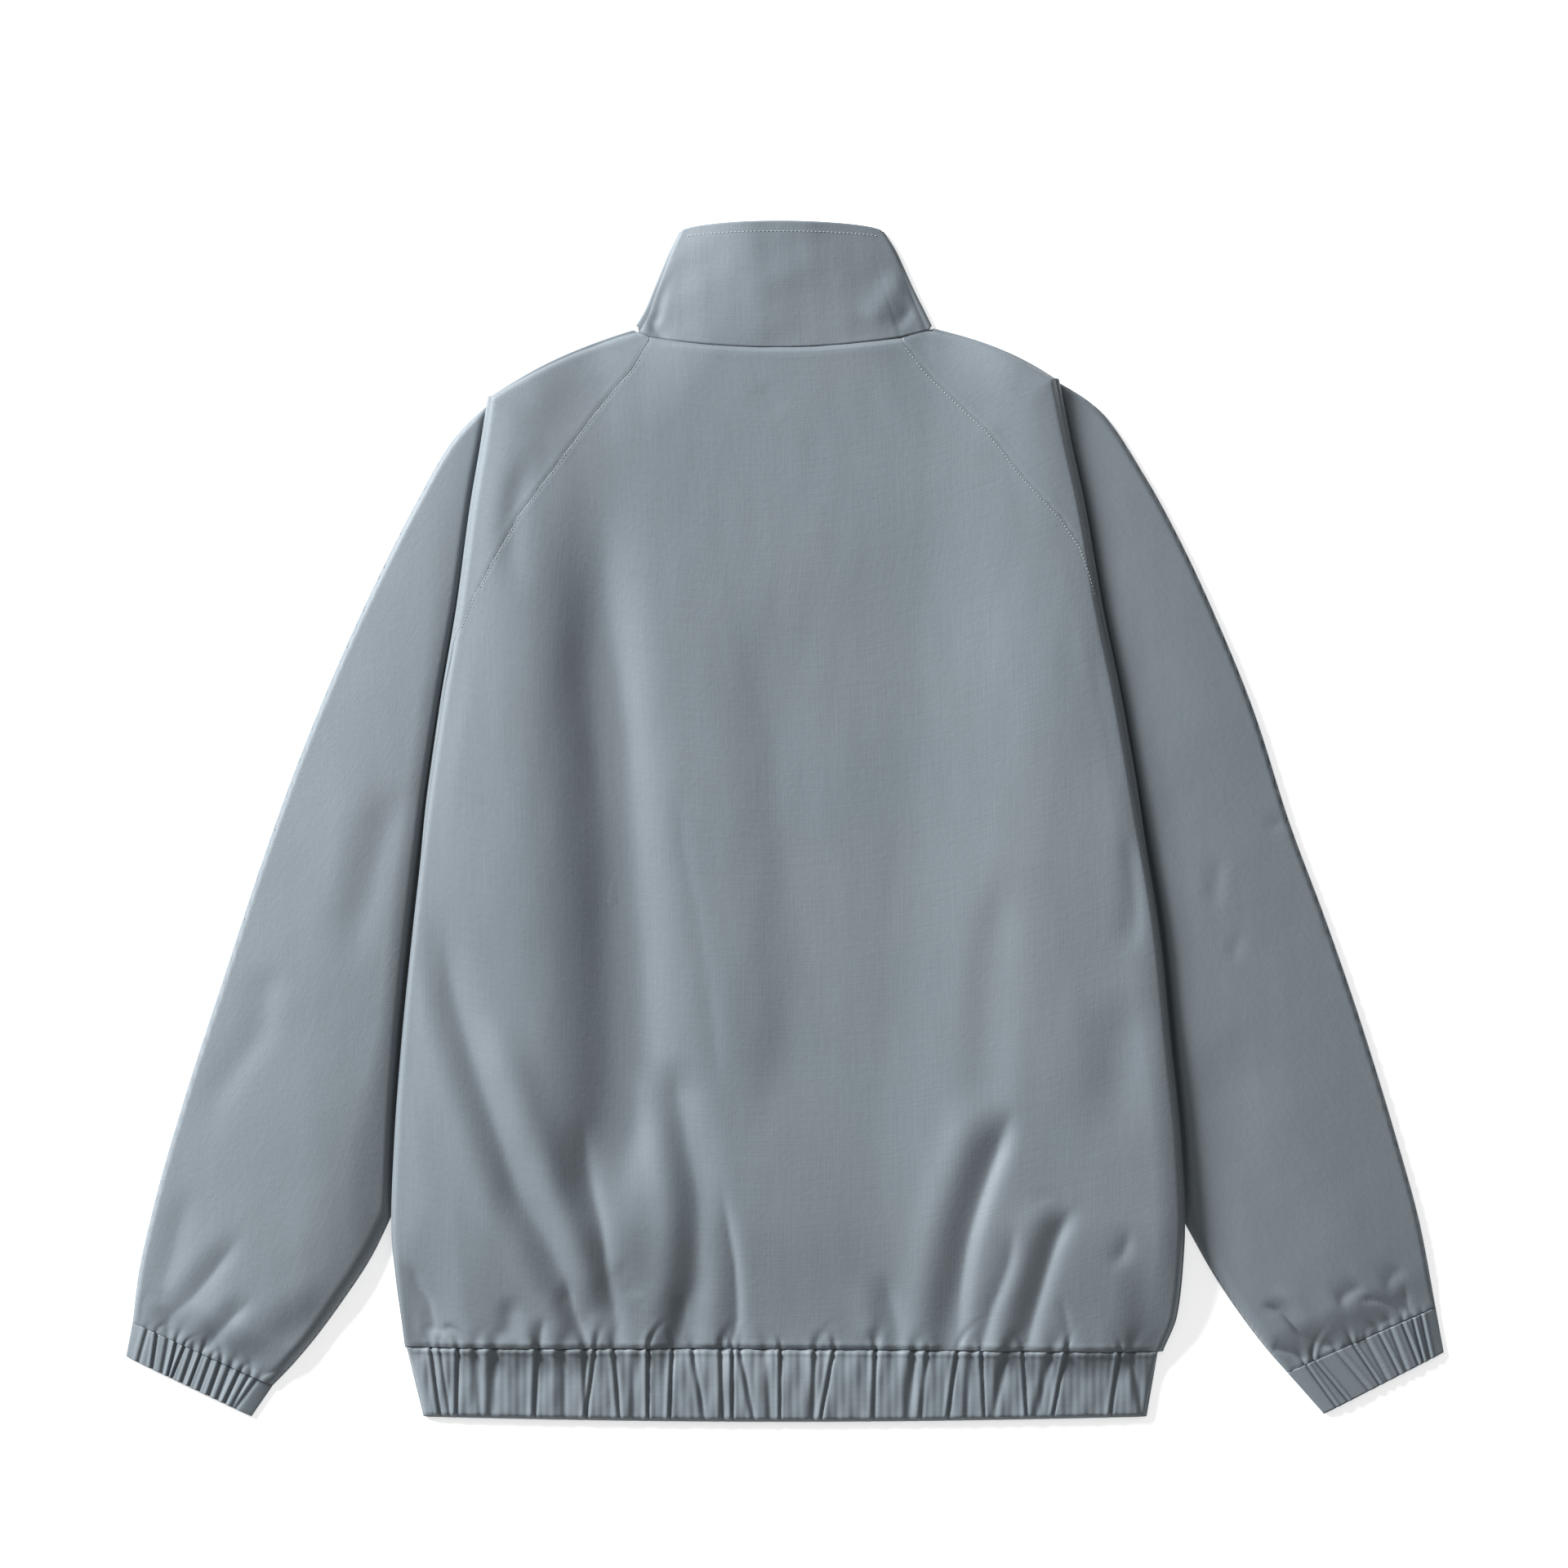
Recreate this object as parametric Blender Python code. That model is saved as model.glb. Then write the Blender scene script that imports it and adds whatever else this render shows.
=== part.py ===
"""A track jacket with raglan sleeves and a stand collar, laid flat on its front, so its back is uppermost.

The jacket lies on the XY plane: the collar points to +Y, the wearer's left sleeve to -X. Each sewn piece
is a cloth wall about its own middle surface. Below each shoulder the sleeve is turned under along the
side edge, runs inwards, and is turned back out, so it lies beneath the side of the body.

All sizes are in millimetres until mesh_object() writes the points in metres.
"""

import math

import bmesh
import bpy
import numpy as np

# ---------------------------------------------------------------- driving sizes
CLOTH = 1.2
COLLAR_CLOTH = 1.6
SEAM_GAP = 0.5
FRONT_SEAM_EASE = 0.35
LAYER_PITCH = 1.8
EDGE_RADIUS = LAYER_PITCH / 2
CREASE_RADIUS = LAYER_PITCH
SIDE_SEAM_TURN = math.radians(22)
EDGE_INSET = EDGE_RADIUS + CLOTH / 2
FRONT_REST = CLOTH / 2
MIDDLE_REST = FRONT_REST + EDGE_RADIUS
STACK_RISE = 4 * LAYER_PITCH
SIDE_SEAM_START = 62.0
FAR = 1000.0

UNDERARM_Y = 25.0
RAGLAN_MEETS_EDGE_Y = {"left": 121.6, "right": 146.0}
MEETING_SHARE = 0.63
NECK_SAG = 7.0
FRONT_NECK_LOW = 271.0
FRONT_NECK_GAP = 1.4
NECK_CORNER = {"left": (89.7, 325.6), "right": (78.5, 325.6)}
COLLAR_CORNER = {"left": (100.5, 330.4), "right": (100.0, 331.4)}
ZIP_HALF_GAP = 3.4

# How high each piece stands above its own edge, and how far in from the edge it is fully up.
BODY_LOFT, BODY_ROUNDING = 11.0, 44.0
SLEEVE_LOFT, SLEEVE_ROUNDING = 12.0, 34.0
CUFF_LOFT, CUFF_ROUNDING = 3.6, 30.0
HEM_LOFT, HEM_ROUNDING = 4.2, 22.0
COLLAR_LOFT = 4.5

# Over the hidden sleeves the body is raised: how far in that begins, and how long it takes to come down.
FRONT_COVER_MARGIN, FRONT_COVER_WIDTH = 16.0, 55.0
BACK_COVER_MARGIN, BACK_COVER_WIDTH = -30.0, 105.0
BACK_COVER_EDGE = 45.0
FOLD_EDGE_FADE = 25.0
FOLD_TOP_FADE = 45.0
FOLD_LOW_FADE = 25.0
SHOULDER_SLOPE = 0.9
LEAVING_SECTION = 6
SLEEVE_SWELL_START, SLEEVE_SWELL_WIDTH = 4.0, 30.0
CUFF_EASE_START, CUFF_EASE_WIDTH, CUFF_EASE_SHARE = 20.0, 70.0, 0.8

# Side edge of the laid body: height up the jacket, then its distance out from the centre line.
EDGE_COLUMNS = ("y", "left", "right")
BODY_EDGE = (
    (300.0, 195.5, 183.0),
    (256.0, 202.3, 191.7),
    (212.0, 209.7, 201.3),
    (146.0, 218.6, 212.8),
    (80.0, 229.8, 226.4),
    (3.0, 240.9, 239.8),
    (-74.0, 250.0, 252.7),
    (-151.0, 257.7, 260.6),
    (-217.0, 262.4, 267.3),
    (-272.0, 264.4, 269.9),
    (-305.0, 261.6, 268.1),
    (-332.0, 258.2, 264.7),
    (-356.0, 255.2, 255.5),
)

# Raglan seam from the collar's corner to the side edge: distance out and height.
RAGLAN_COLUMNS = ("share", "left_out", "left_y", "right_out", "right_y")
RAGLAN_SEAM = (
    (0.00, *COLLAR_CORNER["left"], *COLLAR_CORNER["right"]),
    (0.08, *NECK_CORNER["left"], *NECK_CORNER["right"]),
    (0.16, 102.3, 304.2, 96.0, 302.5),
    (0.26, 118.8, 285.5, 116.4, 282.4),
    (0.38, 134.8, 264.6, 138.2, 261.6),
    (0.52, 156.5, 235.0, 161.0, 231.5),
    (0.68, 178.0, 206.0, 186.5, 204.1),
    (0.83, 197.5, 171.6, 200.0, 184.0),
    (0.92, 210.1, 148.0, 206.6, 165.5),
    (1.00, 221.0, 121.6, 211.2, 146.0),
)

# Shoulder line from the collar's corner (share 0) to the crease: how far it bows above a straight line.
SHOULDER_BOW = 4.0
SHOULDER_END = {"left": (196.0, 288.0), "right": (183.0, 299.5)}

# Sections across each sleeve, from the hidden crease to the cuff seam: outer edge, then underarm edge.
SECTION_COLUMNS = ("outer_out", "outer_y", "inner_out", "inner_y")
SLEEVE_SECTIONS = {
    "left": (
        (188.5, 291.0, 150.7, -51.7),
        (222.0, 258.5, 166.0, -80.0),
        (249.2, 212.3, 183.0, -112.0),
        (271.7, 168.3, 200.0, -144.0),
        (302.0, 102.3, 219.0, -180.0),
        (328.9, 36.3, 240.0, -219.0),
        (352.6, -29.7, 258.0, -253.0),
        (378.0, -106.7, 277.8, -293.7),
        (403.2, -183.7, 297.0, -323.0),
        (422.4, -249.7, 317.0, -350.0),
        (435.0, -305.0, 333.0, -368.5),
        (438.9, -336.6, 343.8, -379.5),
    ),
    "right": (
        (174.0, 302.5, 145.2, -40.7),
        (212.0, 277.5, 158.0, -64.5),
        (242.0, 234.3, 175.0, -96.0),
        (266.2, 190.3, 193.0, -129.0),
        (291.0, 137.0, 211.0, -162.5),
        (316.5, 74.0, 231.0, -199.5),
        (340.5, -1.0, 251.0, -236.5),
        (364.0, -64.0, 271.0, -273.0),
        (387.5, -132.0, 289.0, -305.0),
        (410.3, -205.7, 309.0, -335.0),
        (428.5, -271.7, 326.0, -357.0),
        (438.9, -326.7, 338.2, -370.7),
    ),
}

# Lower edge of each cuff: its outer and inner corner.
CUFF_EDGE = {"left": (443.3, -359.7, 358.1, -400.4), "right": (444.4, -357.0, 363.0, -398.8)}

# Folds of the laid back: a trough has a negative rise.
# x_top, x_middle, x_low, y_top, y_low, half_width, rise
BACK_FOLDS = (
    (-108.0, -118.0, -118.0, 215.0, -250.0, 30.0, -5.0),
    (-178.0, -190.0, -184.0, 190.0, -60.0, 24.0, 2.5),
    (-86.0, -80.0, -62.0, 190.0, -160.0, 20.0, 1.5),
    (5.0, 4.0, 0.0, 40.0, -200.0, 18.0, -1.6),
    (145.0, 132.0, 133.0, -30.0, -200.0, 18.0, -2.0),
    (212.0, 206.0, 202.0, -105.0, -180.0, 12.0, -1.4),
    (-229.0, -196.0, -136.0, -83.0, -335.0, 12.0, -4.0),
    (-205.0, -172.0, -130.0, -110.0, -320.0, 14.0, 3.0),
    (-147.0, -126.0, -110.0, -225.0, -352.0, 9.0, -3.6),
    (-96.0, -92.0, -96.0, -190.0, -330.0, 12.0, 2.0),
    (-74.0, -64.0, -70.0, -215.0, -352.0, 10.0, -3.6),
    (-40.0, -32.0, -34.0, -250.0, -352.0, 8.0, -2.4),
    (68.0, 66.0, 73.0, -290.0, -352.0, 8.0, -2.4),
    (142.0, 119.0, 104.0, -205.0, -352.0, 12.0, -5.0),
    (118.0, 96.0, 84.0, -215.0, -340.0, 12.0, 2.0),
    (148.0, 138.0, 130.0, -268.0, -354.0, 7.0, -2.2),
    (190.0, 168.0, 160.0, -258.0, -354.0, 9.0, -3.0),
)

# Folds of each sleeve, from one end to the other.
# out_start, y_start, out_end, y_end, half_width, rise
SLEEVE_FOLDS = {
    "left": (
        (341.0, -97.0, 384.0, -170.0, 12.0, -2.2),
        (272.0, 8.0, 291.0, -92.0, 14.0, -2.0),
        (404.0, -241.0, 425.0, -325.0, 9.0, -2.4),
        (360.0, -250.0, 402.0, -330.0, 9.0, -2.0),
        (345.0, -318.0, 386.0, -342.0, 8.0, -2.2),
    ),
    "right": (
        (300.0, 20.0, 322.0, -100.0, 14.0, -2.0),
        (362.0, -140.0, 384.0, -215.0, 12.0, -1.8),
        (383.0, -313.0, 420.0, -336.0, 9.0, -2.4),
        (318.0, -328.0, 372.0, -359.0, 9.0, -2.2),
        (418.0, -300.0, 424.0, -330.0, 7.0, -2.0),
    ),
}

# The hem band's two side edges: x and y at the hem seam, then at the band's low edge.
HEM_SEAM_Y = {"left": -353.6, "right": -356.4}
HEM_EDGE = {
    "left": (-254.6, HEM_SEAM_Y["left"], -243.1, -400.2),
    "right": (252.0, HEM_SEAM_Y["right"], 244.4, -400.2),
}
HEM_BOW = 3.4

# Gathers of the hem band's back, by place from left to right.
HEM_PLEATS = (
    -237.5, -230.5, -221.0, -214.0, -194.5, -165.5, -149.0, -129.5, -114.5, -92.0, -75.5, -68.5,
    -42.5, -36.0, -28.5, -3.5, 23.5, 34.5, 62.0, 87.5, 94.5, 115.0, 126.0, 133.0, 148.0, 160.5,
    173.5, 184.5, 215.0, 221.5, 235.5,
)
PLEAT_HALF_WIDTH = 2.4
PLEAT_DEPTH = 1.5
PLEATED_SHARES = (0.03, 0.97)
SMOOTH_END_SHARE = 0.4
CUFF_GATHERS = {"left": 13, "right": 10}
CUFF_GATHER_DEPTH = 0.9
CUFF_TAPER = 0.25

# Side edges of the flat collar: height, then distance out on each side.
COLLAR_COLUMNS = ("y", "left", "right")
COLLAR_EDGE = (
    (333.4, 100.4, 100.0),
    (344.3, 94.1, 94.6),
    (357.5, 88.6, 88.0),
    (370.7, 83.1, 82.0),
    (384.0, 77.5, 75.8),
    (397.0, 70.8, 67.6),
)
COLLAR_FRONT_HEIGHT = 76.0
COLLAR_TOP_BOW = 6.6
COLLAR_FOLD_EASE = 0.4

# Front zip: its ends, the chain's and the tape's half widths, and their levels above the ground.
ZIP_LOW_Y, ZIP_HIGH_Y = -401.0, 328.0
CHAIN_HALF_WIDTH, TAPE_HALF_WIDTH = 3.0, 13.0
CHAIN_LOW, TAPE_LOW, TAPE_HIGH = 0.2, 2.0, 2.8
SLIDER_LENGTH = 13.0
SLIDER_FOOT_EASE = 0.1
# share of the slider's length, half width, top level
SLIDER_SECTIONS = ((0.0, 3.6, 3.6), (0.12, 4.0, 4.4), (0.6, 4.8, 4.6), (0.9, 5.0, 4.4), (1.0, 4.4, 3.6))

CLOTH_COLOUR, CLOTH_ROUGHNESS = (0.235, 0.275, 0.305), 0.62
CHAIN_COLOUR, CHAIN_ROUGHNESS = (0.09, 0.10, 0.11), 0.45
METAL_COLOUR, METAL_ROUGHNESS = (0.32, 0.33, 0.34), 0.35
SHARP_ANGLE = math.radians(50)

# ---------------------------------------------------------------- how finely each piece is divided
SHARES_ACROSS = (0.0, 0.0504, 0.135, 0.25, 0.38, 0.51, 0.63, 0.76, 0.89, 1.0)
CAP_ROWS = 5
CREASE_STEPS = 5
RIM_STEPS = 3
SLEEVE_ROWS = 13
BODY_ROWS_BELOW = 13
BACK_COLUMNS = 44
FRONT_COLUMNS = 8
EDGE_COLUMNS_TURNED = 4
CROWDING = 0.12
SLEEVE_ROW_POWER = 1.05
FRONT_COLUMN_POWER = 0.85
BACK_NECK_ROWS = 3.0
FRONT_NECK_ROWS = 6.0
HEM_PLACES = (0.0, 0.3, 0.75, 1.0)
CUFF_PLACES = (0.0, 0.35, 0.7, 1.0)
HEM_FRONT_SHARES = (0.0, 0.25, 0.5, 0.75, 1.0)
COLLAR_FRONT_SHARES = (0.0, 0.3, 0.58, 0.82, 1.0)
COLLAR_BACK_COLUMNS = 14
OUTLINE_STEPS = 240
ZIP_STATIONS = 9


# ---------------------------------------------------------------- plain formulas
def ramp(value):
    """Zero below 0, one above 1, and a smooth cubic between."""
    x = np.clip(value, 0.0, 1.0)
    return x * x * (3.0 - 2.0 * x)


def dome(distance, width):
    """A parabola: zero up to the edge's own rounding, one from width inwards of it."""
    x = np.clip((distance - EDGE_INSET) / width, 0.0, 1.0)
    return 1.0 - (1.0 - x) ** 2


def smooth_through(knots, values, at):
    """Monotone cubic curve through the values at rising knots."""
    knots = np.asarray(knots, float)
    values = np.asarray(values, float)
    at = np.clip(at, knots[0], knots[-1])
    step = np.diff(knots)
    slope = np.diff(values) / step
    product = slope[:-1] * slope[1:]
    total = slope[:-1] + slope[1:]
    inner = np.where(product > 0, 2.0 * product / np.where(total == 0, 1.0, total), 0.0)
    tangent = np.concatenate([slope[:1], inner, slope[-1:]])
    place = np.clip(np.searchsorted(knots, at, side="right") - 1, 0, len(step) - 1)
    h = step[place]
    t = (at - knots[place]) / h
    start = (1 + 2 * t) * (1 - t) ** 2 * values[place] + t * (1 - t) ** 2 * h * tangent[place]
    end = t * t * (3 - 2 * t) * values[place + 1] + t * t * (t - 1) * h * tangent[place + 1]
    return start + end


def column(table, names, name):
    """One named column of a table."""
    return np.array([row[names.index(name)] for row in table], float)


def unit(vectors):
    """Vectors scaled to length one."""
    return vectors / np.maximum(np.linalg.norm(vectors, axis=-1, keepdims=True), 1e-12)


# ---------------------------------------------------------------- the outline in plan
def side_edge(side, y):
    """Distance out of the body's side edge at height y."""
    rows = BODY_EDGE[::-1]
    return smooth_through(column(rows, EDGE_COLUMNS, "y"), column(rows, EDGE_COLUMNS, side), y)


def raglan(side, share):
    """Distance out and height of the raglan seam; share runs from the collar to the side edge."""
    shares = column(RAGLAN_SEAM, RAGLAN_COLUMNS, "share")
    out = np.interp(share, shares, column(RAGLAN_SEAM, RAGLAN_COLUMNS, side + "_out"))
    y = np.interp(share, shares, column(RAGLAN_SEAM, RAGLAN_COLUMNS, side + "_y"))
    return out, y


def hidden_corner(side):
    """The two ends of the hidden crease: near the shoulder, and at the underarm edge."""
    first = SLEEVE_SECTIONS[side][0]
    return np.array(first[:2]), np.array(first[2:])


def past_line(start, end, out, y):
    """How far a point lies to the right of the line from start to end."""
    along = unit(end - start)
    return (out - start[0]) * along[1] - (y - start[1]) * along[0]


def from_hidden_crease(side, out, y):
    """How far a point lies inwards of the hidden crease's line."""
    return past_line(*hidden_corner(side), out, y)


def from_hidden_sleeve(side, out, y):
    """How far a point lies inwards of the sleeve that is hidden beneath the side of the body."""
    leaves = np.array(SLEEVE_SECTIONS[side][LEAVING_SECTION][2:])
    from_underarm = past_line(hidden_corner(side)[1], leaves, out, y)
    return np.maximum(from_hidden_crease(side, out, y), from_underarm)


def shoulder_line(side, share):
    """Shoulder fold from the collar's corner to the crease."""
    start = np.array(COLLAR_CORNER[side])
    end = np.array(SHOULDER_END[side])
    share = np.asarray(share)[..., None]
    normal = unit(np.array([start[1] - end[1], end[0] - start[0]]))
    return start + (end - start) * share + normal * SHOULDER_BOW * 4 * share * (1 - share)


def edge_distance(side, out, y):
    """Distance in from the body's own outline: the side edge, and the shoulder line above it."""
    from_side = side_edge(side, y) - out
    line = shoulder_line(side, np.linspace(0.0, 1.0, OUTLINE_STEPS))
    line_y = np.interp(out, line[:, 0], line[:, 1])
    from_shoulder = np.where(out < line[0, 0], FAR, (line_y - y) * SHOULDER_SLOPE)
    return np.maximum(np.minimum(from_side, from_shoulder), 0.0)


# ---------------------------------------------------------------- heights of the laid body
def upright_folds(x, y):
    """Sum of the back's folds: each a soft trough or ridge about a curve that bends once."""
    rise = np.zeros(np.broadcast(x, y).shape)
    for x_top, x_middle, x_low, y_top, y_low, half_width, height in BACK_FOLDS:
        share = np.clip((y_top - y) / (y_top - y_low), 0.0, 1.0)
        bend = x_middle - (x_top + x_low) / 2
        centre = x_top + (x_low - x_top) * share + bend * 4 * share * (1 - share)
        fade = ramp((y_top - y) / FOLD_TOP_FADE) * ramp((y - y_low) / FOLD_LOW_FADE + 1.0)
        rise += height * fade * np.exp(-(((x - centre) / half_width) ** 2))
    return rise


def over_sleeves(x, y, inwards, margin, width):
    """Middle level that is raised over the hidden sleeves and falls smoothly inwards of them."""
    nearer = np.minimum(inwards("left", -x, y), inwards("right", x, y))
    return MIDDLE_REST + STACK_RISE * (1.0 - ramp((nearer - margin) / width))


def body_rest(x, y):
    """Height of the body's middle surface: on the ground, or over the hidden sleeves."""
    return over_sleeves(x, y, from_hidden_sleeve, FRONT_COVER_MARGIN, FRONT_COVER_WIDTH)


def front_height(x, y):
    """Height of the front layer, which lies on the ground between the sleeves."""
    return body_rest(x, y) - EDGE_RADIUS


def back_height(x, y):
    """Height of the back layer: rounded at the outline, with its folds."""
    inset = np.minimum(edge_distance("left", -x, y), edge_distance("right", x, y))
    rest = body_rest(x, y)
    broad = over_sleeves(x, y, from_hidden_crease, BACK_COVER_MARGIN, BACK_COVER_WIDTH)
    base = rest + (broad - rest) * ramp(inset / BACK_COVER_EDGE)
    folds = upright_folds(x, y) * ramp(inset / FOLD_EDGE_FADE)
    return base + EDGE_RADIUS + BODY_LOFT * dome(inset, BODY_ROUNDING) + folds


# ---------------------------------------------------------------- heights of the sleeves
def section_curves(side, places):
    """Outer and underarm edge of the sleeve at each place from 0, the hidden crease, to 1, the cuff."""
    table = SLEEVE_SECTIONS[side]
    knots = np.linspace(0.0, 1.0, len(table))
    values = [smooth_through(knots, column(table, SECTION_COLUMNS, name), places) for name in SECTION_COLUMNS]
    return np.stack(values[:2], -1), np.stack(values[2:], -1)


def nearest(points, line):
    """Distance from each point to the nearest point of a finely divided line."""
    difference = points[..., None, :] - line
    return np.sqrt((difference**2).sum(-1)).min(-1)


def sleeve_rise(side, points):
    """How far the sleeve's upper layer stands above its edge, by place in plan."""
    outer, inner = section_curves(side, np.linspace(0.0, 1.0, OUTLINE_STEPS))
    out, y = points[..., 0], points[..., 1]
    beyond = ramp((out - side_edge(side, y) - SLEEVE_SWELL_START) / SLEEVE_SWELL_WIDTH)
    rounded = dome(nearest(points, outer), SLEEVE_ROUNDING) * dome(nearest(points, inner), SLEEVE_ROUNDING)
    end_line = (outer[-1] + inner[-1]) / 2
    from_cuff = np.linalg.norm(points - end_line, axis=-1)
    near_cuff = 1.0 - ramp((from_cuff - CUFF_EASE_START) / CUFF_EASE_WIDTH)
    loft = SLEEVE_LOFT + (CUFF_LOFT - SLEEVE_LOFT) * near_cuff * CUFF_EASE_SHARE
    folds = np.zeros(out.shape)
    for out_start, y_start, out_end, y_end, half_width, height in SLEEVE_FOLDS[side]:
        start = np.array([out_start, y_start])
        run = np.array([out_end, y_end]) - start
        share = np.clip(((points - start) @ run) / (run @ run), 0.0, 1.0)
        distance = np.linalg.norm(points - start - share[..., None] * run, axis=-1)
        folds += height * np.exp(-((distance / half_width) ** 2))
    return (loft * rounded + folds * rounded) * beyond


# ---------------------------------------------------------------- meshes
def material(name, colour, roughness, metallic=0.0):
    """A Principled material in the piece's own colour."""
    made = bpy.data.materials.new(name)
    made.use_nodes = True
    shader = made.node_tree.nodes["Principled BSDF"]
    shader.inputs["Base Color"].default_value = (*colour, 1.0)
    shader.inputs["Roughness"].default_value = roughness
    shader.inputs["Metallic"].default_value = metallic
    made.diffuse_color = (*colour, 1.0)
    return made


def mesh_object(name, points, faces, finish):
    """A closed mesh object from points in millimetres, its faces turned outwards."""
    mesh = bpy.data.meshes.new(name)
    mesh.from_pydata((np.asarray(points) / 1000.0).tolist(), [], faces)
    work = bmesh.new()
    work.from_mesh(mesh)
    bmesh.ops.recalc_face_normals(work, faces=work.faces)
    work.to_mesh(mesh)
    work.free()
    mesh.materials.append(finish)
    mesh.shade_smooth()
    mesh.set_sharp_from_angle(angle=SHARP_ANGLE)
    made = bpy.data.objects.new(name, mesh)
    bpy.context.scene.collection.objects.link(made)
    return made


def tangent(points, axis, ring):
    """Direction along one axis of the grid: that of the circle through each point and its two neighbours."""
    along = np.moveaxis(points, axis, 0)
    step = np.roll(along, -1, 0) - along
    length = np.linalg.norm(step, axis=-1, keepdims=True)
    ahead = unit(step)
    made = unit(ahead * np.roll(length, 1, 0) + np.roll(ahead, 1, 0) * length)
    if not ring:
        first = length[0] / (length[0] + length[1])
        last = length[-2] / (length[-2] + length[-3])
        made[0] = unit(ahead[0] + (ahead[0] - ahead[1]) * first)
        made[-1] = unit(ahead[-2] + (ahead[-2] - ahead[-3]) * last)
    return np.moveaxis(made, 0, axis)


def grid_faces(rows, columns, ring, start):
    """Quads of a grid whose points begin at start; a ring joins its last column to its first."""
    index = np.arange(rows * columns).reshape(rows, columns) + start
    following = np.roll(index, -1, 1) if ring else index[:, 1:]
    index = index if ring else index[:, :-1]
    quads = np.stack([index[:-1], following[:-1], following[1:], index[1:]], -1)
    return quads.reshape(-1, 4)


def cloth_wall(name, middle, thickness, finish, ring=False):
    """A wall of even thickness about a grid of middle points; a ring is a tube open at both ends."""
    rows, columns = middle.shape[:2]
    normal = unit(np.cross(tangent(middle, 1, ring), tangent(middle, 0, False)))
    outer = middle + normal * thickness / 2
    inner = middle - normal * thickness / 2
    count = rows * columns
    upper = grid_faces(rows, columns, ring, 0)
    lower = grid_faces(rows, columns, ring, count)[:, [0, 3, 2, 1]]
    index = np.arange(count).reshape(rows, columns)
    borders = [index[0], index[-1][::-1]]
    if not ring:
        borders = [np.concatenate([index[0, :-1], index[:-1, -1], index[-1, :0:-1], index[:0:-1, 0]])]
    rims = []
    for border in borders:
        ahead = np.roll(border, -1)
        rims.append(np.stack([ahead, border, border + count, ahead + count], -1))
    faces = np.concatenate([upper, lower, *rims]).tolist()
    return mesh_object(name, np.concatenate([outer.reshape(-1, 3), inner.reshape(-1, 3)]), faces, finish)


# ---------------------------------------------------------------- sleeves
def seam_turn(share):
    """Cloth length by which the raglan seam has gone round the side edge."""
    beyond = np.clip((share - MEETING_SHARE) / (1.0 - MEETING_SHARE), 0.0, 1.0)
    return beyond * CREASE_RADIUS * math.pi / 2


def crease_point(side, share):
    """Point of the side crease from the shoulder, share 0, to the underarm, share 1."""
    knots = (0.0, MEETING_SHARE, 1.0)
    heights = (SHOULDER_END[side][1] - EDGE_INSET, RAGLAN_MEETS_EDGE_Y[side], UNDERARM_Y)
    y = np.interp(share, knots, heights)
    return side_edge(side, y) - EDGE_INSET, y


def cap_start(side, share):
    """Where the cap begins: distance past the side crease at that height, height, distance out."""
    out, y = raglan(side, np.clip(share / MEETING_SHARE, 0.0, 1.0))
    crease_out, crease_y = crease_point(side, share)
    before = share < MEETING_SHARE
    edge = side_edge(side, y) - EDGE_INSET
    past = np.where(before, np.minimum(out - edge, 0.0), seam_turn(share))
    return past, np.where(before, y, crease_y), np.where(before, out, crease_out)


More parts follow.
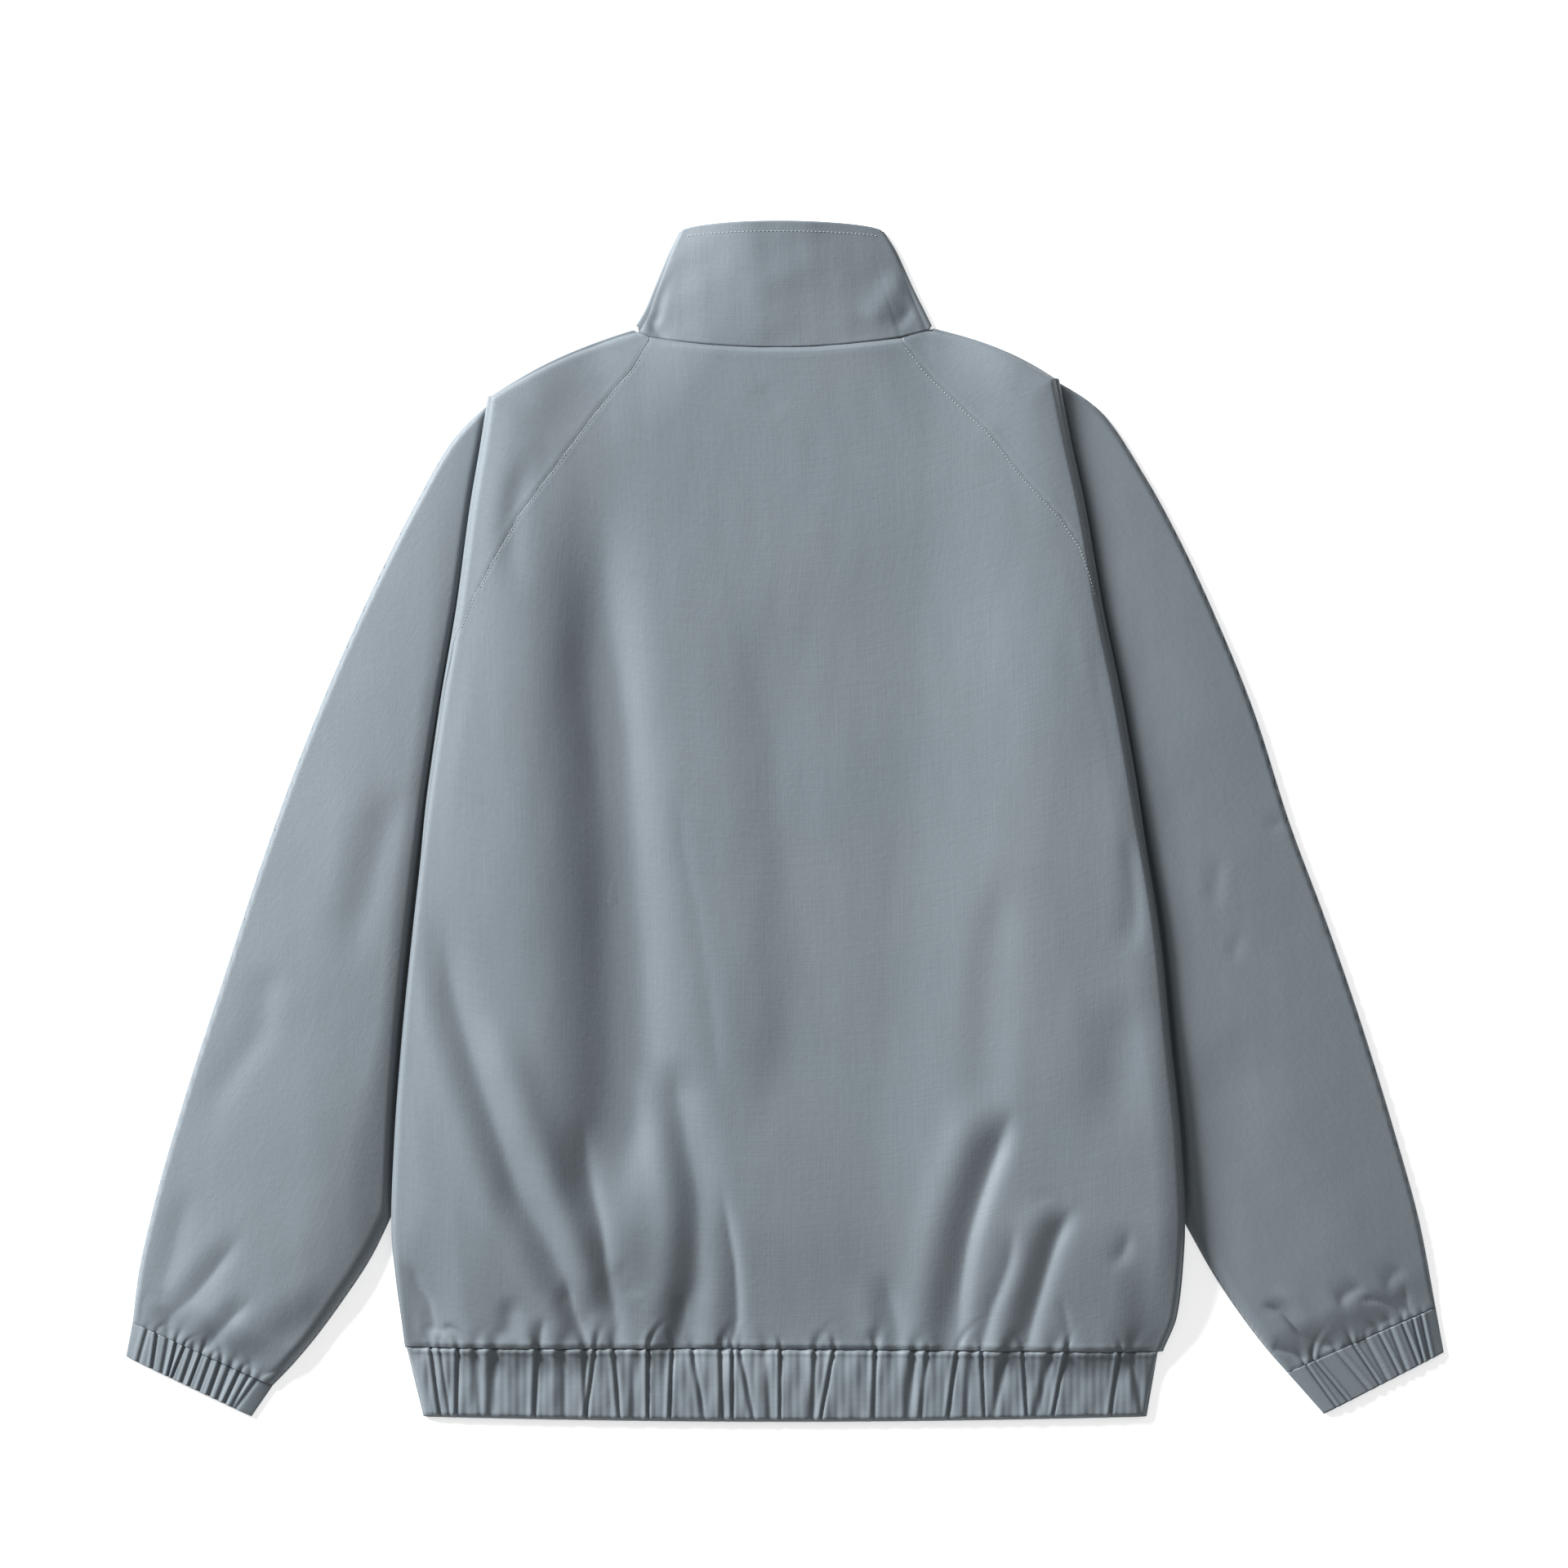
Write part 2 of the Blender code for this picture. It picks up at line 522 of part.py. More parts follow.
def sleeve_sheet(side):
    """Middle surface of the laid sleeve, its normals, and the height of its upper layer above it."""
    share = np.array(SHARES_ACROSS)
    crease_out, crease_y = crease_point(side, share)
    past, start_y, start_out = cap_start(side, share)
    length = CREASE_RADIUS * math.pi
    points, normals, above = [], [], []

    def add(out, y, z, tilt, rise):
        points.append(np.stack([out, y, z], -1))
        normals.append(np.stack([np.sin(tilt), 0 * tilt, np.cos(tilt)], -1))
        above.append(rise)

    stack = MIDDLE_REST + STACK_RISE
    sign = -1.0 if side == "left" else 1.0
    shoulder = shoulder_line(side, np.linspace(0, 1, CAP_ROWS + 1))
    straight = np.linspace(0, 1, CAP_ROWS + 1)[:, None] * (shoulder[-1] - shoulder[0]) + shoulder[0]
    bow = shoulder - straight
    for row in range(CAP_ROWS + CREASE_STEPS + 1):
        step = row - CAP_ROWS
        part = min(row / CAP_ROWS, 1.0)
        flat = np.where(share < MEETING_SHARE, past * (1 - part), -FAR)
        level = np.maximum(flat, past + SEAM_GAP / 2 + CROWDING * row)
        if step >= 0:
            level = np.maximum(level, step / CREASE_STEPS * length)
        turned = np.clip(level, 0.0, length) / CREASE_RADIUS
        y = start_y + (crease_y - start_y) * part
        base = start_out + (crease_out - start_out) * part
        lifted = level <= 0
        bowed = bow[min(row, CAP_ROWS)] * ((1 - share) ** 3)[:, None]
        out_flat = np.where(row == 0, base + SEAM_GAP / 2, base)
        out = np.where(lifted, out_flat, crease_out + CREASE_RADIUS * np.sin(turned)) + bowed[:, 0] * lifted
        y = y + bowed[:, 1] * lifted
        rest = body_rest(sign * out, y)
        z = np.where(lifted, rest, stack - CREASE_RADIUS * (1 - np.cos(turned)))
        height = np.where(lifted, back_height(sign * out, y) - rest, EDGE_RADIUS)
        add(out, y, z, np.where(lifted, 0.0, turned), height)

    top, corner = hidden_corner(side)
    inner_out = top[0] + (corner[0] - top[0]) * share
    inner_y = top[1] - EDGE_INSET + (corner[1] - top[1] + EDGE_INSET) * share
    below = stack - 2 * CREASE_RADIUS
    flat_rise = np.full(share.shape, EDGE_RADIUS)
    add(
        (crease_out + inner_out) / 2,
        (crease_y + inner_y) / 2,
        np.full(share.shape, below),
        np.full(share.shape, math.pi),
        flat_rise,
    )
    for step in range(CREASE_STEPS + 1):
        angle = np.full(share.shape, math.pi * step / CREASE_STEPS)
        out = inner_out - CREASE_RADIUS * np.sin(angle)
        add(out, inner_y, below - CREASE_RADIUS * (1 - np.cos(angle)), math.pi - angle, flat_rise)

    places = np.linspace(0.0, 1.0, SLEEVE_ROWS + 1)[1:] ** SLEEVE_ROW_POWER
    outer, inner = section_curves(side, places)
    for start, end in zip(outer, inner):
        across = unit(end - start)
        first = start + across * EDGE_INSET
        last = end - across * EDGE_INSET
        line = first + (last - first) * share[:, None]
        rise = EDGE_RADIUS + sleeve_rise(side, line)
        add(line[:, 0], line[:, 1], np.full(share.shape, MIDDLE_REST), 0 * share, rise)
    return np.array(points), np.array(normals), np.array(above)


def flat_tube(points, normals, above):
    """Ring of middle points: the upper layer, a rounded rim, the lower layer, the other rim."""
    far = unit(points[:, -1] - points[:, -2])
    near = unit(points[:, 0] - points[:, 1])
    upper = points + normals * above[..., None]
    lower = (points - normals * EDGE_RADIUS)[:, ::-1]
    turns = (np.arange(1, RIM_STEPS) * math.pi / RIM_STEPS)[:, None]
    up, across = EDGE_RADIUS * np.cos(turns), EDGE_RADIUS * np.sin(turns)
    far_rim = points[:, None, -1] + normals[:, None, -1] * up + far[:, None] * across
    near_rim = points[:, None, 0] - normals[:, None, 0] * up + near[:, None] * across
    return np.concatenate([upper, far_rim, lower, near_rim], 1)


def placed(side, points):
    """Points given as distance out, put on their own side of the centre line."""
    return points * np.array([-1.0 if side == "left" else 1.0, 1.0, 1.0])


def build_sleeve(side, finish):
    """One-piece raglan sleeve, from its cap to the cuff seam."""
    ring = flat_tube(*sleeve_sheet(side))
    return cloth_wall("sleeve_" + side, placed(side, ring), CLOTH, finish, ring=True)


def build_cuff(side, finish):
    """Elasticated cuff: a short gathered tube beyond the sleeve's end."""
    outer, inner = section_curves(side, np.array([1.0]))
    top_outer, top_inner = outer[0], inner[0]
    low_outer, low_inner = np.array(CUFF_EDGE[side][:2]), np.array(CUFF_EDGE[side][2:])
    gathers = CUFF_GATHERS[side]
    share = np.linspace(0.0, 1.0, 2 * gathers + 1)
    wave = np.where(np.arange(2 * gathers + 1) % 2 == 0, -CUFF_GATHER_DEPTH, CUFF_GATHER_DEPTH)
    rows = []
    for place in CUFF_PLACES:
        start = top_outer + (low_outer - top_outer) * place
        end = top_inner + (low_inner - top_inner) * place
        across = unit(end - start)
        down = unit(low_outer - top_outer) * (SEAM_GAP if place == 0.0 else 0.0)
        line = start + across * EDGE_INSET + down
        line = line + (end - across * EDGE_INSET + down - line) * share[:, None]
        inset = np.minimum(share, 1 - share) * np.linalg.norm(end - start)
        rise = EDGE_RADIUS + CUFF_LOFT * dome(inset, CUFF_ROUNDING) * (1 - CUFF_TAPER * place)
        rise = rise + np.where((share > 0) & (share < 1), wave, 0.0)
        rows.append((line, rise))
    points = np.array([np.column_stack([line, np.full(len(share), MIDDLE_REST)]) for line, _ in rows])
    above = np.array([np.maximum(rise, EDGE_RADIUS) for _, rise in rows])
    normals = np.zeros(points.shape)
    normals[..., 2] = 1.0
    ring = placed(side, flat_tube(points, normals, above))
    return cloth_wall("cuff_" + side, ring, CLOTH, finish, ring=True)


# ---------------------------------------------------------------- body panels
def panel_rows(side):
    """Seam end of each row of a body panel: how far past the crease, distance out and height."""
    share = np.array(SHARES_ACROSS[1:])
    past, y, _ = cap_start(side, share)
    past = past - SEAM_GAP / 2
    below_y = np.linspace(UNDERARM_Y, HEM_SEAM_Y[side] + SEAM_GAP / 2, BODY_ROWS_BELOW + 1)[1:]
    side_seam = CREASE_RADIUS * (math.pi / 2 - SIDE_SEAM_TURN)
    past = np.concatenate([past, np.full(len(below_y), side_seam)])
    return past, np.concatenate([y, below_y])


def turned_columns(past):
    """Places of a row's end columns round the side edge, crowded where the seam, at past, cuts them off."""
    turn = np.linspace(0.0, CREASE_RADIUS * math.pi / 2, EDGE_COLUMNS_TURNED)
    return np.minimum(turn, past - CROWDING * np.arange(EDGE_COLUMNS_TURNED)[::-1])


def side_end(side, y, place, layer):
    """End columns of one row of a body panel, as distance out, y, z: layer 1 is the back, -1 a front."""
    y = np.full(place.shape, y)
    sign = -1.0 if side == "left" else 1.0
    edge = side_edge(side, y) - EDGE_INSET
    own = ramp((UNDERARM_Y - y) / SIDE_SEAM_START)[:, None]
    angle = np.clip(place / CREASE_RADIUS, 0.0, math.pi / 2)
    wide = CREASE_RADIUS + layer * EDGE_RADIUS
    with_sleeve = np.stack([wide * np.sin(angle), wide * np.cos(angle) - CREASE_RADIUS], -1)
    alone = np.stack([EDGE_RADIUS * np.sin(angle), layer * EDGE_RADIUS * np.cos(angle)], -1)
    turned = with_sleeve + (alone - with_sleeve) * own
    out = edge + np.where(place <= 0, place, turned[:, 0])
    flat = back_height(sign * out, y) if layer > 0 else front_height(sign * out, y)
    return np.column_stack([out, y, np.where(place <= 0, flat, body_rest(sign * edge, y) + turned[:, 1])])


def neck_y(x):
    """Height of the back neck seam: a shallow curve between the two neck corners, then up to the collar's."""
    left, right = NECK_CORNER["left"], NECK_CORNER["right"]
    middle = (right[0] - left[0]) / 2
    half = (right[0] + left[0]) / 2
    low = left[1] - NECK_SAG * (1 - np.clip(np.abs(x - middle) / half, 0, 1) ** 2)
    rise = (COLLAR_CORNER["left"][1] - left[1]) / (COLLAR_CORNER["left"][0] - left[0])
    return low + rise * np.maximum(np.abs(x - middle) - half, 0.0)


def front_neck_y(side, out):
    """Height of the front neck seam: a parabola from the zip to the neck corner, then up to the collar's."""
    corner, end = NECK_CORNER[side], COLLAR_CORNER[side]
    curve = FRONT_NECK_LOW + (corner[1] - FRONT_NECK_LOW) * np.clip(out / corner[0], 0, 1) ** 2
    rise = (end[1] - corner[1]) / (end[0] - corner[0])
    return curve + rise * np.maximum(out - corner[0], 0.0)


def build_back(finish):
    """Back panel: from the neck seam to the hem seam, its sides rounding the laid edges."""
    left_past, left_y = panel_rows("left")
    right_past, right_y = panel_rows("right")
    share = np.linspace(0.0, 1.0, BACK_COLUMNS + 1)[1:-1]
    rows = []
    for row in range(len(left_y)):
        left = placed("left", side_end("left", left_y[row], turned_columns(left_past[row]), 1.0))[::-1]
        right = side_end("right", right_y[row], turned_columns(right_past[row]), 1.0)
        x = left[-1, 0] + (right[0, 0] - left[-1, 0]) * share
        y = left[-1, 1] + (right[0, 1] - left[-1, 1]) * share
        sag = NECK_SAG * max(0.0, 1.0 - row / BACK_NECK_ROWS)
        y = y - sag * (1 - (2 * share - 1) ** 2)
        rows.append(np.concatenate([left, np.column_stack([x, y, back_height(x, y)]), right]))
    return cloth_wall("back", np.array(rows), CLOTH, finish)


def build_front(side, finish):
    """Front panel, which lies beneath: plain, from the zip to the raglan seam and the side edge."""
    past_rows, y_rows = panel_rows(side)
    sign = -1.0 if side == "left" else 1.0
    seam_rows = len(SHARES_ACROSS) - 2
    share = np.linspace(0.0, 1.0, FRONT_COLUMNS + 1)[:-1] ** FRONT_COLUMN_POWER
    rows = []
    for row, (past, y) in enumerate(zip(past_rows, y_rows)):
        ease = FRONT_SEAM_EASE if row < seam_rows else 0.0
        end = side_end(side, y, turned_columns(past - ease), -1.0)
        out = ZIP_HALF_GAP + (end[0, 0] - ZIP_HALF_GAP) * share
        corner_out, corner_y = NECK_CORNER[side]
        dip = corner_y - front_neck_y(side, corner_out * out / end[0, 0])
        dipped = y - dip * max(0.0, 1.0 - row / FRONT_NECK_ROWS)
        inside = np.column_stack([out, dipped, front_height(sign * out, dipped)])
        rows.append(np.concatenate([inside, end]))
    return cloth_wall("front_" + side, placed(side, np.array(rows)), CLOTH, finish)


# ---------------------------------------------------------------- hem band, collar, zip
def rim_points(edge, sign, radius, middle, steps):
    """Rounded side of a band, from its lower to its upper layer."""
    angles = np.linspace(0.0, math.pi, steps + 1)[1:-1]
    out = edge[:, None, 0] + sign * radius * np.sin(angles)
    y = np.repeat(edge[:, 1:2], len(angles), 1)
    z = middle - radius * np.cos(angles)
    return np.stack([out, y, np.broadcast_to(z, out.shape)], -1)


def hem_columns():
    """Columns across the hem band's back: shares from left to right, and how deep each lies in its gather."""
    pleats = np.array(HEM_PLEATS)
    columns = pleats[:, None] + np.array((-PLEAT_HALF_WIDTH, 0.0, PLEAT_HALF_WIDTH))
    first, last = PLEATED_SHARES
    share = first + (last - first) * (columns.ravel() - pleats[0]) / (pleats[-1] - pleats[0])
    depth = np.tile([0.0, -PLEAT_DEPTH, 0.0], len(pleats))
    smooth = first * SMOOTH_END_SHARE
    share = np.concatenate([[0.0, smooth], share, [1.0 - smooth, 1.0]])
    return share, np.concatenate([[0.0, 0.0], depth, [0.0, 0.0]])


def build_hem_band(finish):
    """Elasticated hem band: gathered over the back, plain beneath, open at the zip."""
    places = np.array(HEM_PLACES)[:, None]
    edges = {}
    for side, inward in (("left", EDGE_INSET), ("right", -EDGE_INSET)):
        top_x, top_y, low_x, low_y = HEM_EDGE[side]
        x = top_x + inward + (low_x - top_x) * places
        edges[side] = np.column_stack([x, top_y - SEAM_GAP / 2 + (low_y - top_y) * places])
    start, end = edges["left"], edges["right"]
    share, depth = hem_columns()
    gathered = (share > 0.0) & (share < 1.0)
    back = start[:, None] + (end - start)[:, None] * share[:, None]
    inset = EDGE_INSET + np.minimum(share, 1 - share) * (end - start)[:, :1]
    rise = np.maximum(EDGE_RADIUS + HEM_LOFT * dome(inset, HEM_ROUNDING) + depth, EDGE_RADIUS)
    body_rise = back_height(back[..., 0], np.full(back.shape[:2], sum(HEM_SEAM_Y.values()) / 2)) - MIDDLE_REST
    rise = np.where(gathered, rise + (body_rise + depth - rise) * (1 - places) ** 2, rise)
    back[..., 1] -= HEM_BOW * np.sin(np.pi * share) * places
    back = np.concatenate([back, (MIDDLE_REST + rise)[..., None]], -1)
    fronts = []
    for sign, edge in ((-1.0, start), (1.0, end)):
        middle = np.column_stack([np.full(len(places), sign * ZIP_HALF_GAP), edge[:, 1:] - HEM_BOW * places])
        line = middle[:, None] + (edge - middle)[:, None] * np.array(HEM_FRONT_SHARES)[:, None]
        fronts.append(np.concatenate([line, np.full((*line.shape[:2], 1), FRONT_REST)], -1))
    left_rim = rim_points(start, -1.0, EDGE_RADIUS, MIDDLE_REST, RIM_STEPS)
    right_rim = rim_points(end, 1.0, EDGE_RADIUS, MIDDLE_REST, RIM_STEPS)[:, ::-1]
    grid = np.concatenate([fronts[0], left_rim, back, right_rim, fronts[1][:, ::-1]], 1)
    return cloth_wall("hem_band", grid, CLOTH, finish)


def collar_edges():
    """Middle points of the collar's folded side edges, from the neck seam up, and their place up it."""
    inset = COLLAR_CLOTH + COLLAR_FOLD_EASE
    heights = column(COLLAR_EDGE, COLLAR_COLUMNS, "y")
    left = np.column_stack([inset - column(COLLAR_EDGE, COLLAR_COLUMNS, "left"), heights])
    right = np.column_stack([column(COLLAR_EDGE, COLLAR_COLUMNS, "right") - inset, heights])
    return left, right, (heights - heights[0]) / (heights[-1] - heights[0])


def collar_front(side, edge, place, rest):
    """Middle points of one half of the collar beneath, from the zip to the folded side edge."""
    sign = -1.0 if side == "left" else 1.0
    reach = abs(edge[0, 0]) - ZIP_HALF_GAP
    corner = (NECK_CORNER[side][0] - ZIP_HALF_GAP) / reach
    share = np.append(np.array(COLLAR_FRONT_SHARES) * corner, 1.0)
    zip_end = sign * ZIP_HALF_GAP
    x = zip_end + (edge[:, :1] - zip_end) * share
    low = front_neck_y(side, np.abs(x[:1])) + FRONT_NECK_GAP
    high = edge[-1, 1] - (edge[-1, 1] - low[0, 0] - COLLAR_FRONT_HEIGHT) * (1 - share**2)
    y = low + (high - low) * place[:, None]
    y[:, -1] = edge[:, 1]
    return np.stack([x, y, np.full(x.shape, rest)], -1)


def build_collar(finish):
    """Stand collar, pressed flat: its back half above, its two front halves meeting at the zip."""
    radius = COLLAR_CLOTH / 2 + COLLAR_FOLD_EASE
    rest = COLLAR_CLOTH / 2
    left, right, place = collar_edges()
    share = np.linspace(0.0, 1.0, COLLAR_BACK_COLUMNS + 1)
    inside = (share > 0.0) & (share < 1.0)
    belly = np.sqrt(4 * share * (1 - share))
    back = left[:, None] + (right - left)[:, None] * share[:, None]
    seam_y = neck_y(back[0, :, 0])
    lift = np.where(inside, seam_y + SEAM_GAP - back[0, :, 1], 0.0)
    back[..., 1] += lift * (1 - place)[:, None] + COLLAR_TOP_BOW * belly * place[:, None]
    loft = rest + 2 * radius + COLLAR_LOFT * belly
    z = loft + (back_height(back[0, :, 0], seam_y) - loft) * ((1 - place) ** 2)[:, None]
    back = np.concatenate([back, np.where(inside, z, rest + 2 * radius)[..., None]], -1)
    left_front = collar_front("left", left, place, rest)
    right_front = collar_front("right", right, place, rest)
    left_rim = rim_points(left, -1.0, radius, rest + radius, RIM_STEPS + 1)
    right_rim = rim_points(right, 1.0, radius, rest + radius, RIM_STEPS + 1)[:, ::-1]
    grid = np.concatenate([left_front, left_rim, back, right_rim, right_front[:, ::-1]], 1)
    return cloth_wall("collar", grid, COLLAR_CLOTH, finish)


def prism(name, sections, finish):
    """Closed solid through sections that all have the same number of corners."""
    points = np.array(sections)
    rows, columns = points.shape[:2]
    faces = grid_faces(rows, columns, True, 0).tolist()
    faces += [list(range(columns))[::-1], list(range((rows - 1) * columns, rows * columns))]
    return mesh_object(name, points.reshape(-1, 3), faces, finish)


def stepped_section(y, half_low, half_high, low, shelf, high):
    """Corners of a section that is narrow between the panels' edges and wide inside them."""
    corners = (
        (-half_low, low), (half_low, low), (half_low, shelf), (half_high, shelf),
        (half_high, high), (-half_high, high), (-half_high, shelf), (-half_low, shelf),
    )
    return [(x, y, z) for x, z in corners]


def build_zip(finish):
    """Closed front zip: the chain between the fronts' edges, with its tape lying inside them."""
    stations = np.linspace(ZIP_LOW_Y, ZIP_HIGH_Y, ZIP_STATIONS)
    sizes = (CHAIN_HALF_WIDTH, TAPE_HALF_WIDTH, CHAIN_LOW, TAPE_LOW, TAPE_HIGH)
    sections = [stepped_section(y, *sizes) for y in stations]
    return prism("front_zip", sections, finish)


def build_slider(finish):
    """Zip slider at the top of the closed chain: narrow at its low end, wider where the chain parts."""
    foot = CHAIN_HALF_WIDTH - SLIDER_FOOT_EASE
    sections = []
    for share, half_width, top in SLIDER_SECTIONS:
        y = ZIP_HIGH_Y + SEAM_GAP + SLIDER_LENGTH * share
        sections.append(stepped_section(y, foot, half_width, CHAIN_LOW, TAPE_LOW, top))
    return prism("zip_slider", sections, finish)


def main():
    """Clears the scene and builds each piece of the jacket."""
    for old in list(bpy.data.objects):
        bpy.data.objects.remove(old, do_unlink=True)
    shell = material("jacket_cloth", CLOTH_COLOUR, CLOTH_ROUGHNESS)
    dark = material("zip_chain", CHAIN_COLOUR, CHAIN_ROUGHNESS)
    metal = material("zip_metal", METAL_COLOUR, METAL_ROUGHNESS, 1.0)
    build_back(shell)
    for side in ("left", "right"):
        build_front(side, shell)
        build_sleeve(side, shell)
        build_cuff(side, shell)
    build_collar(shell)
    build_hem_band(shell)
    build_zip(dark)
    build_slider(metal)


if __name__ == "__main__":
    main()
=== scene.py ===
"""Looks of a raglan track jacket that lies flat on its front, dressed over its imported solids.

Each sewn piece is a thin cloth wall worked out on a grid in millimetres, on the form of its own solid, with
finer folds, gathers, seams and stitching. +X is to the right of the picture, +Y towards the collar, +Z up.
"""

import logging
import math
from collections.abc import Callable
from dataclasses import dataclass
from enum import Enum

import bpy
import numpy as np
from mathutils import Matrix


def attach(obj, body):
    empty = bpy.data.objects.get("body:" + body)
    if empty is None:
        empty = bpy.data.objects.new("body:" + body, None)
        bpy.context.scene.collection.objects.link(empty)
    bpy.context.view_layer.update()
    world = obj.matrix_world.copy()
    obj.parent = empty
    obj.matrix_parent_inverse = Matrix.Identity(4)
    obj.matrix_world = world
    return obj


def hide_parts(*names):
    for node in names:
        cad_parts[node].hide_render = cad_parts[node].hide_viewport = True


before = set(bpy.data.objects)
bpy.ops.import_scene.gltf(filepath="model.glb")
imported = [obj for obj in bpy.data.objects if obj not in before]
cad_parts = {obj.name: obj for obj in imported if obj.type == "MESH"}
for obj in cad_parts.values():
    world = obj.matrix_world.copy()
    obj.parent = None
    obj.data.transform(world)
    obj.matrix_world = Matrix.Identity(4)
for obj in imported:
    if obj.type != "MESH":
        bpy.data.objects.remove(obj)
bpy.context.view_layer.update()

LOG = logging.getLogger("track_jacket")
Array = np.ndarray
Colour = tuple[float, float, float]
MM = 0.001
BODY = "root"
AWAY_FROM_LIGHT = np.array([0.8, -0.6])
FAR = 1000.0


class Side(Enum):
    """The two sides of the jacket, named for the wearer."""

    LEFT = "left"
    RIGHT = "right"

    @property
    def sign(self) -> float:
        """Minus one where the side lies at -X, one where it lies at +X."""
        return -1.0 if self is Side.LEFT else 1.0


class Slot(Enum):
    """The record's material slots."""

    CLOTH = "jacket_cloth"
    CHAIN = "zip_chain"
    METAL = "zip_metal"


# ---------------------------------------------------------------- plain formulas
def ramp(value: Array | float) -> Array:
    """A smooth cubic from zero to one.

    Args:
        value: Zero or less gives zero, one or more gives one.

    Returns:
        3x^2 - 2x^3 of the value held between zero and one.
    """
    x = np.clip(value, 0.0, 1.0)
    return x * x * (3.0 - 2.0 * x)


def swell(distance: Array, width: float) -> Array:
    """A parabola that rises from zero at the edge to one at width.

    Args:
        distance: Distance in from the edge's own rounding, in mm.
        width: Where the swell is full, in mm.

    Returns:
        1 - (1 - distance / width)^2, held between zero and one.
    """
    x = np.clip(distance / width, 0.0, 1.0)
    return 1.0 - (1.0 - x) ** 2


def pillow(inset: Array, roll: float, roll_width: float, dome: float, dome_width: float) -> Array:
    """Height of laid cloth over its folded edge: a tight roll, then a broad low dome.

    Args:
        inset: Distance in from the edge's own rounding, in mm.
        roll, roll_width: Height and width of the roll in mm.
        dome, dome_width: Height and width of the dome in mm.

    Returns:
        The sum of a quarter ellipse and a parabola, in mm.
    """
    x = np.clip(inset / roll_width, 0.0, 1.0)
    return roll * np.sqrt(1.0 - (1.0 - x) ** 2) + dome * swell(inset, dome_width)


def bump(value: Array) -> Array:
    """A bell, exp(-x^2)."""
    return np.exp(-np.square(value))


def unit(vectors: Array) -> Array:
    """Vectors scaled to length one."""
    return vectors / np.maximum(np.linalg.norm(vectors, axis=-1, keepdims=True), 1e-12)


def smooth_through(knots: Array, values: Array, at: Array) -> Array:
    """Monotone cubic curve through values at rising knots.

    Args:
        knots: Rising places of the values.
        values: The curve's value at each knot.
        at: Where it is read.

    Returns:
        The cubic Hermite curve, whose tangent at each knot is the harmonic mean of the slopes beside it.
    """
    knots, values = np.asarray(knots, float), np.asarray(values, float)
    at = np.clip(at, knots[0], knots[-1])
    step = np.diff(knots)
    slope = np.diff(values) / step
    product, total = slope[:-1] * slope[1:], slope[:-1] + slope[1:]
    inner = np.where(product > 0, 2.0 * product / np.where(total == 0, 1.0, total), 0.0)
    tangent = np.concatenate([slope[:1], inner, slope[-1:]])
    place = np.clip(np.searchsorted(knots, at, side="right") - 1, 0, len(step) - 1)
    h = step[place]
    t = (at - knots[place]) / h
    start = (1 + 2 * t) * (1 - t) ** 2 * values[place] + t * (1 - t) ** 2 * h * tangent[place]
    end = t * t * (3 - 2 * t) * values[place + 1] + t * t * (t - 1) * h * tangent[place + 1]
    return start + end


def ripples(x: Array, y: Array, seed: int, waves: int, shortest: float, longest: float) -> Array:
    """Unevenness of laid cloth: a sum of plane waves in fixed, scattered directions.

    Args:
        x, y: Places in mm.
        seed: Chooses the waves.
        waves: How many are added.
        shortest, longest: Limits of their wavelengths in mm.

    Returns:
        The sum of sin(k . p + phase), scaled to about -1 to 1.
    """
    rng = np.random.default_rng(seed)
    length = rng.uniform(shortest, longest, waves)
    turn = rng.uniform(0.0, math.pi, waves)
    phase = rng.uniform(0.0, 2 * math.pi, waves)
    total = np.zeros(np.broadcast(x, y).shape)
    for long, angle, start in zip(length, turn, phase):
        total += np.sin(2 * math.pi * (x * math.cos(angle) + y * math.sin(angle)) / long + start)
    return total / math.sqrt(waves)


def past_line(start: Array, end: Array, out: Array, y: Array) -> Array:
    """How far the places (out, y) lie to the right of the line from start to end, in mm."""
    along = unit(end - start)
    return (out - start[0]) * along[1] - (y - start[1]) * along[0]


def nearest(points: Array, line: Array) -> Array:
    """Distance from each point to the nearest point of a finely divided line.

    Args:
        points: (..., 2) places.
        line: (n, 2) points along the line.

    Returns:
        The smallest distance for each place.
    """
    return np.hypot(points[..., None, 0] - line[:, 0], points[..., None, 1] - line[:, 1]).min(-1)


def spaced(count: int, length: float, close: float, ends: int) -> Array:
    """Places from 0 to 1 that are close together at both ends and even between.

    Args:
        count: How many places in all.
        length: The real length that they divide, in mm.
        close: Spacing of the first places in mm.
        ends: How many places near each end are set close.

    Returns:
        Rising places, the first 0 and the last 1.
    """
    steps = np.ones(count - 1)
    even = length / (count - 1)
    growth = np.linspace(close / even, 1.0, ends + 1)[:-1]
    steps[:ends] = growth
    steps[-ends:] = growth[::-1]
    return np.concatenate([[0.0], np.cumsum(steps) / steps.sum()])


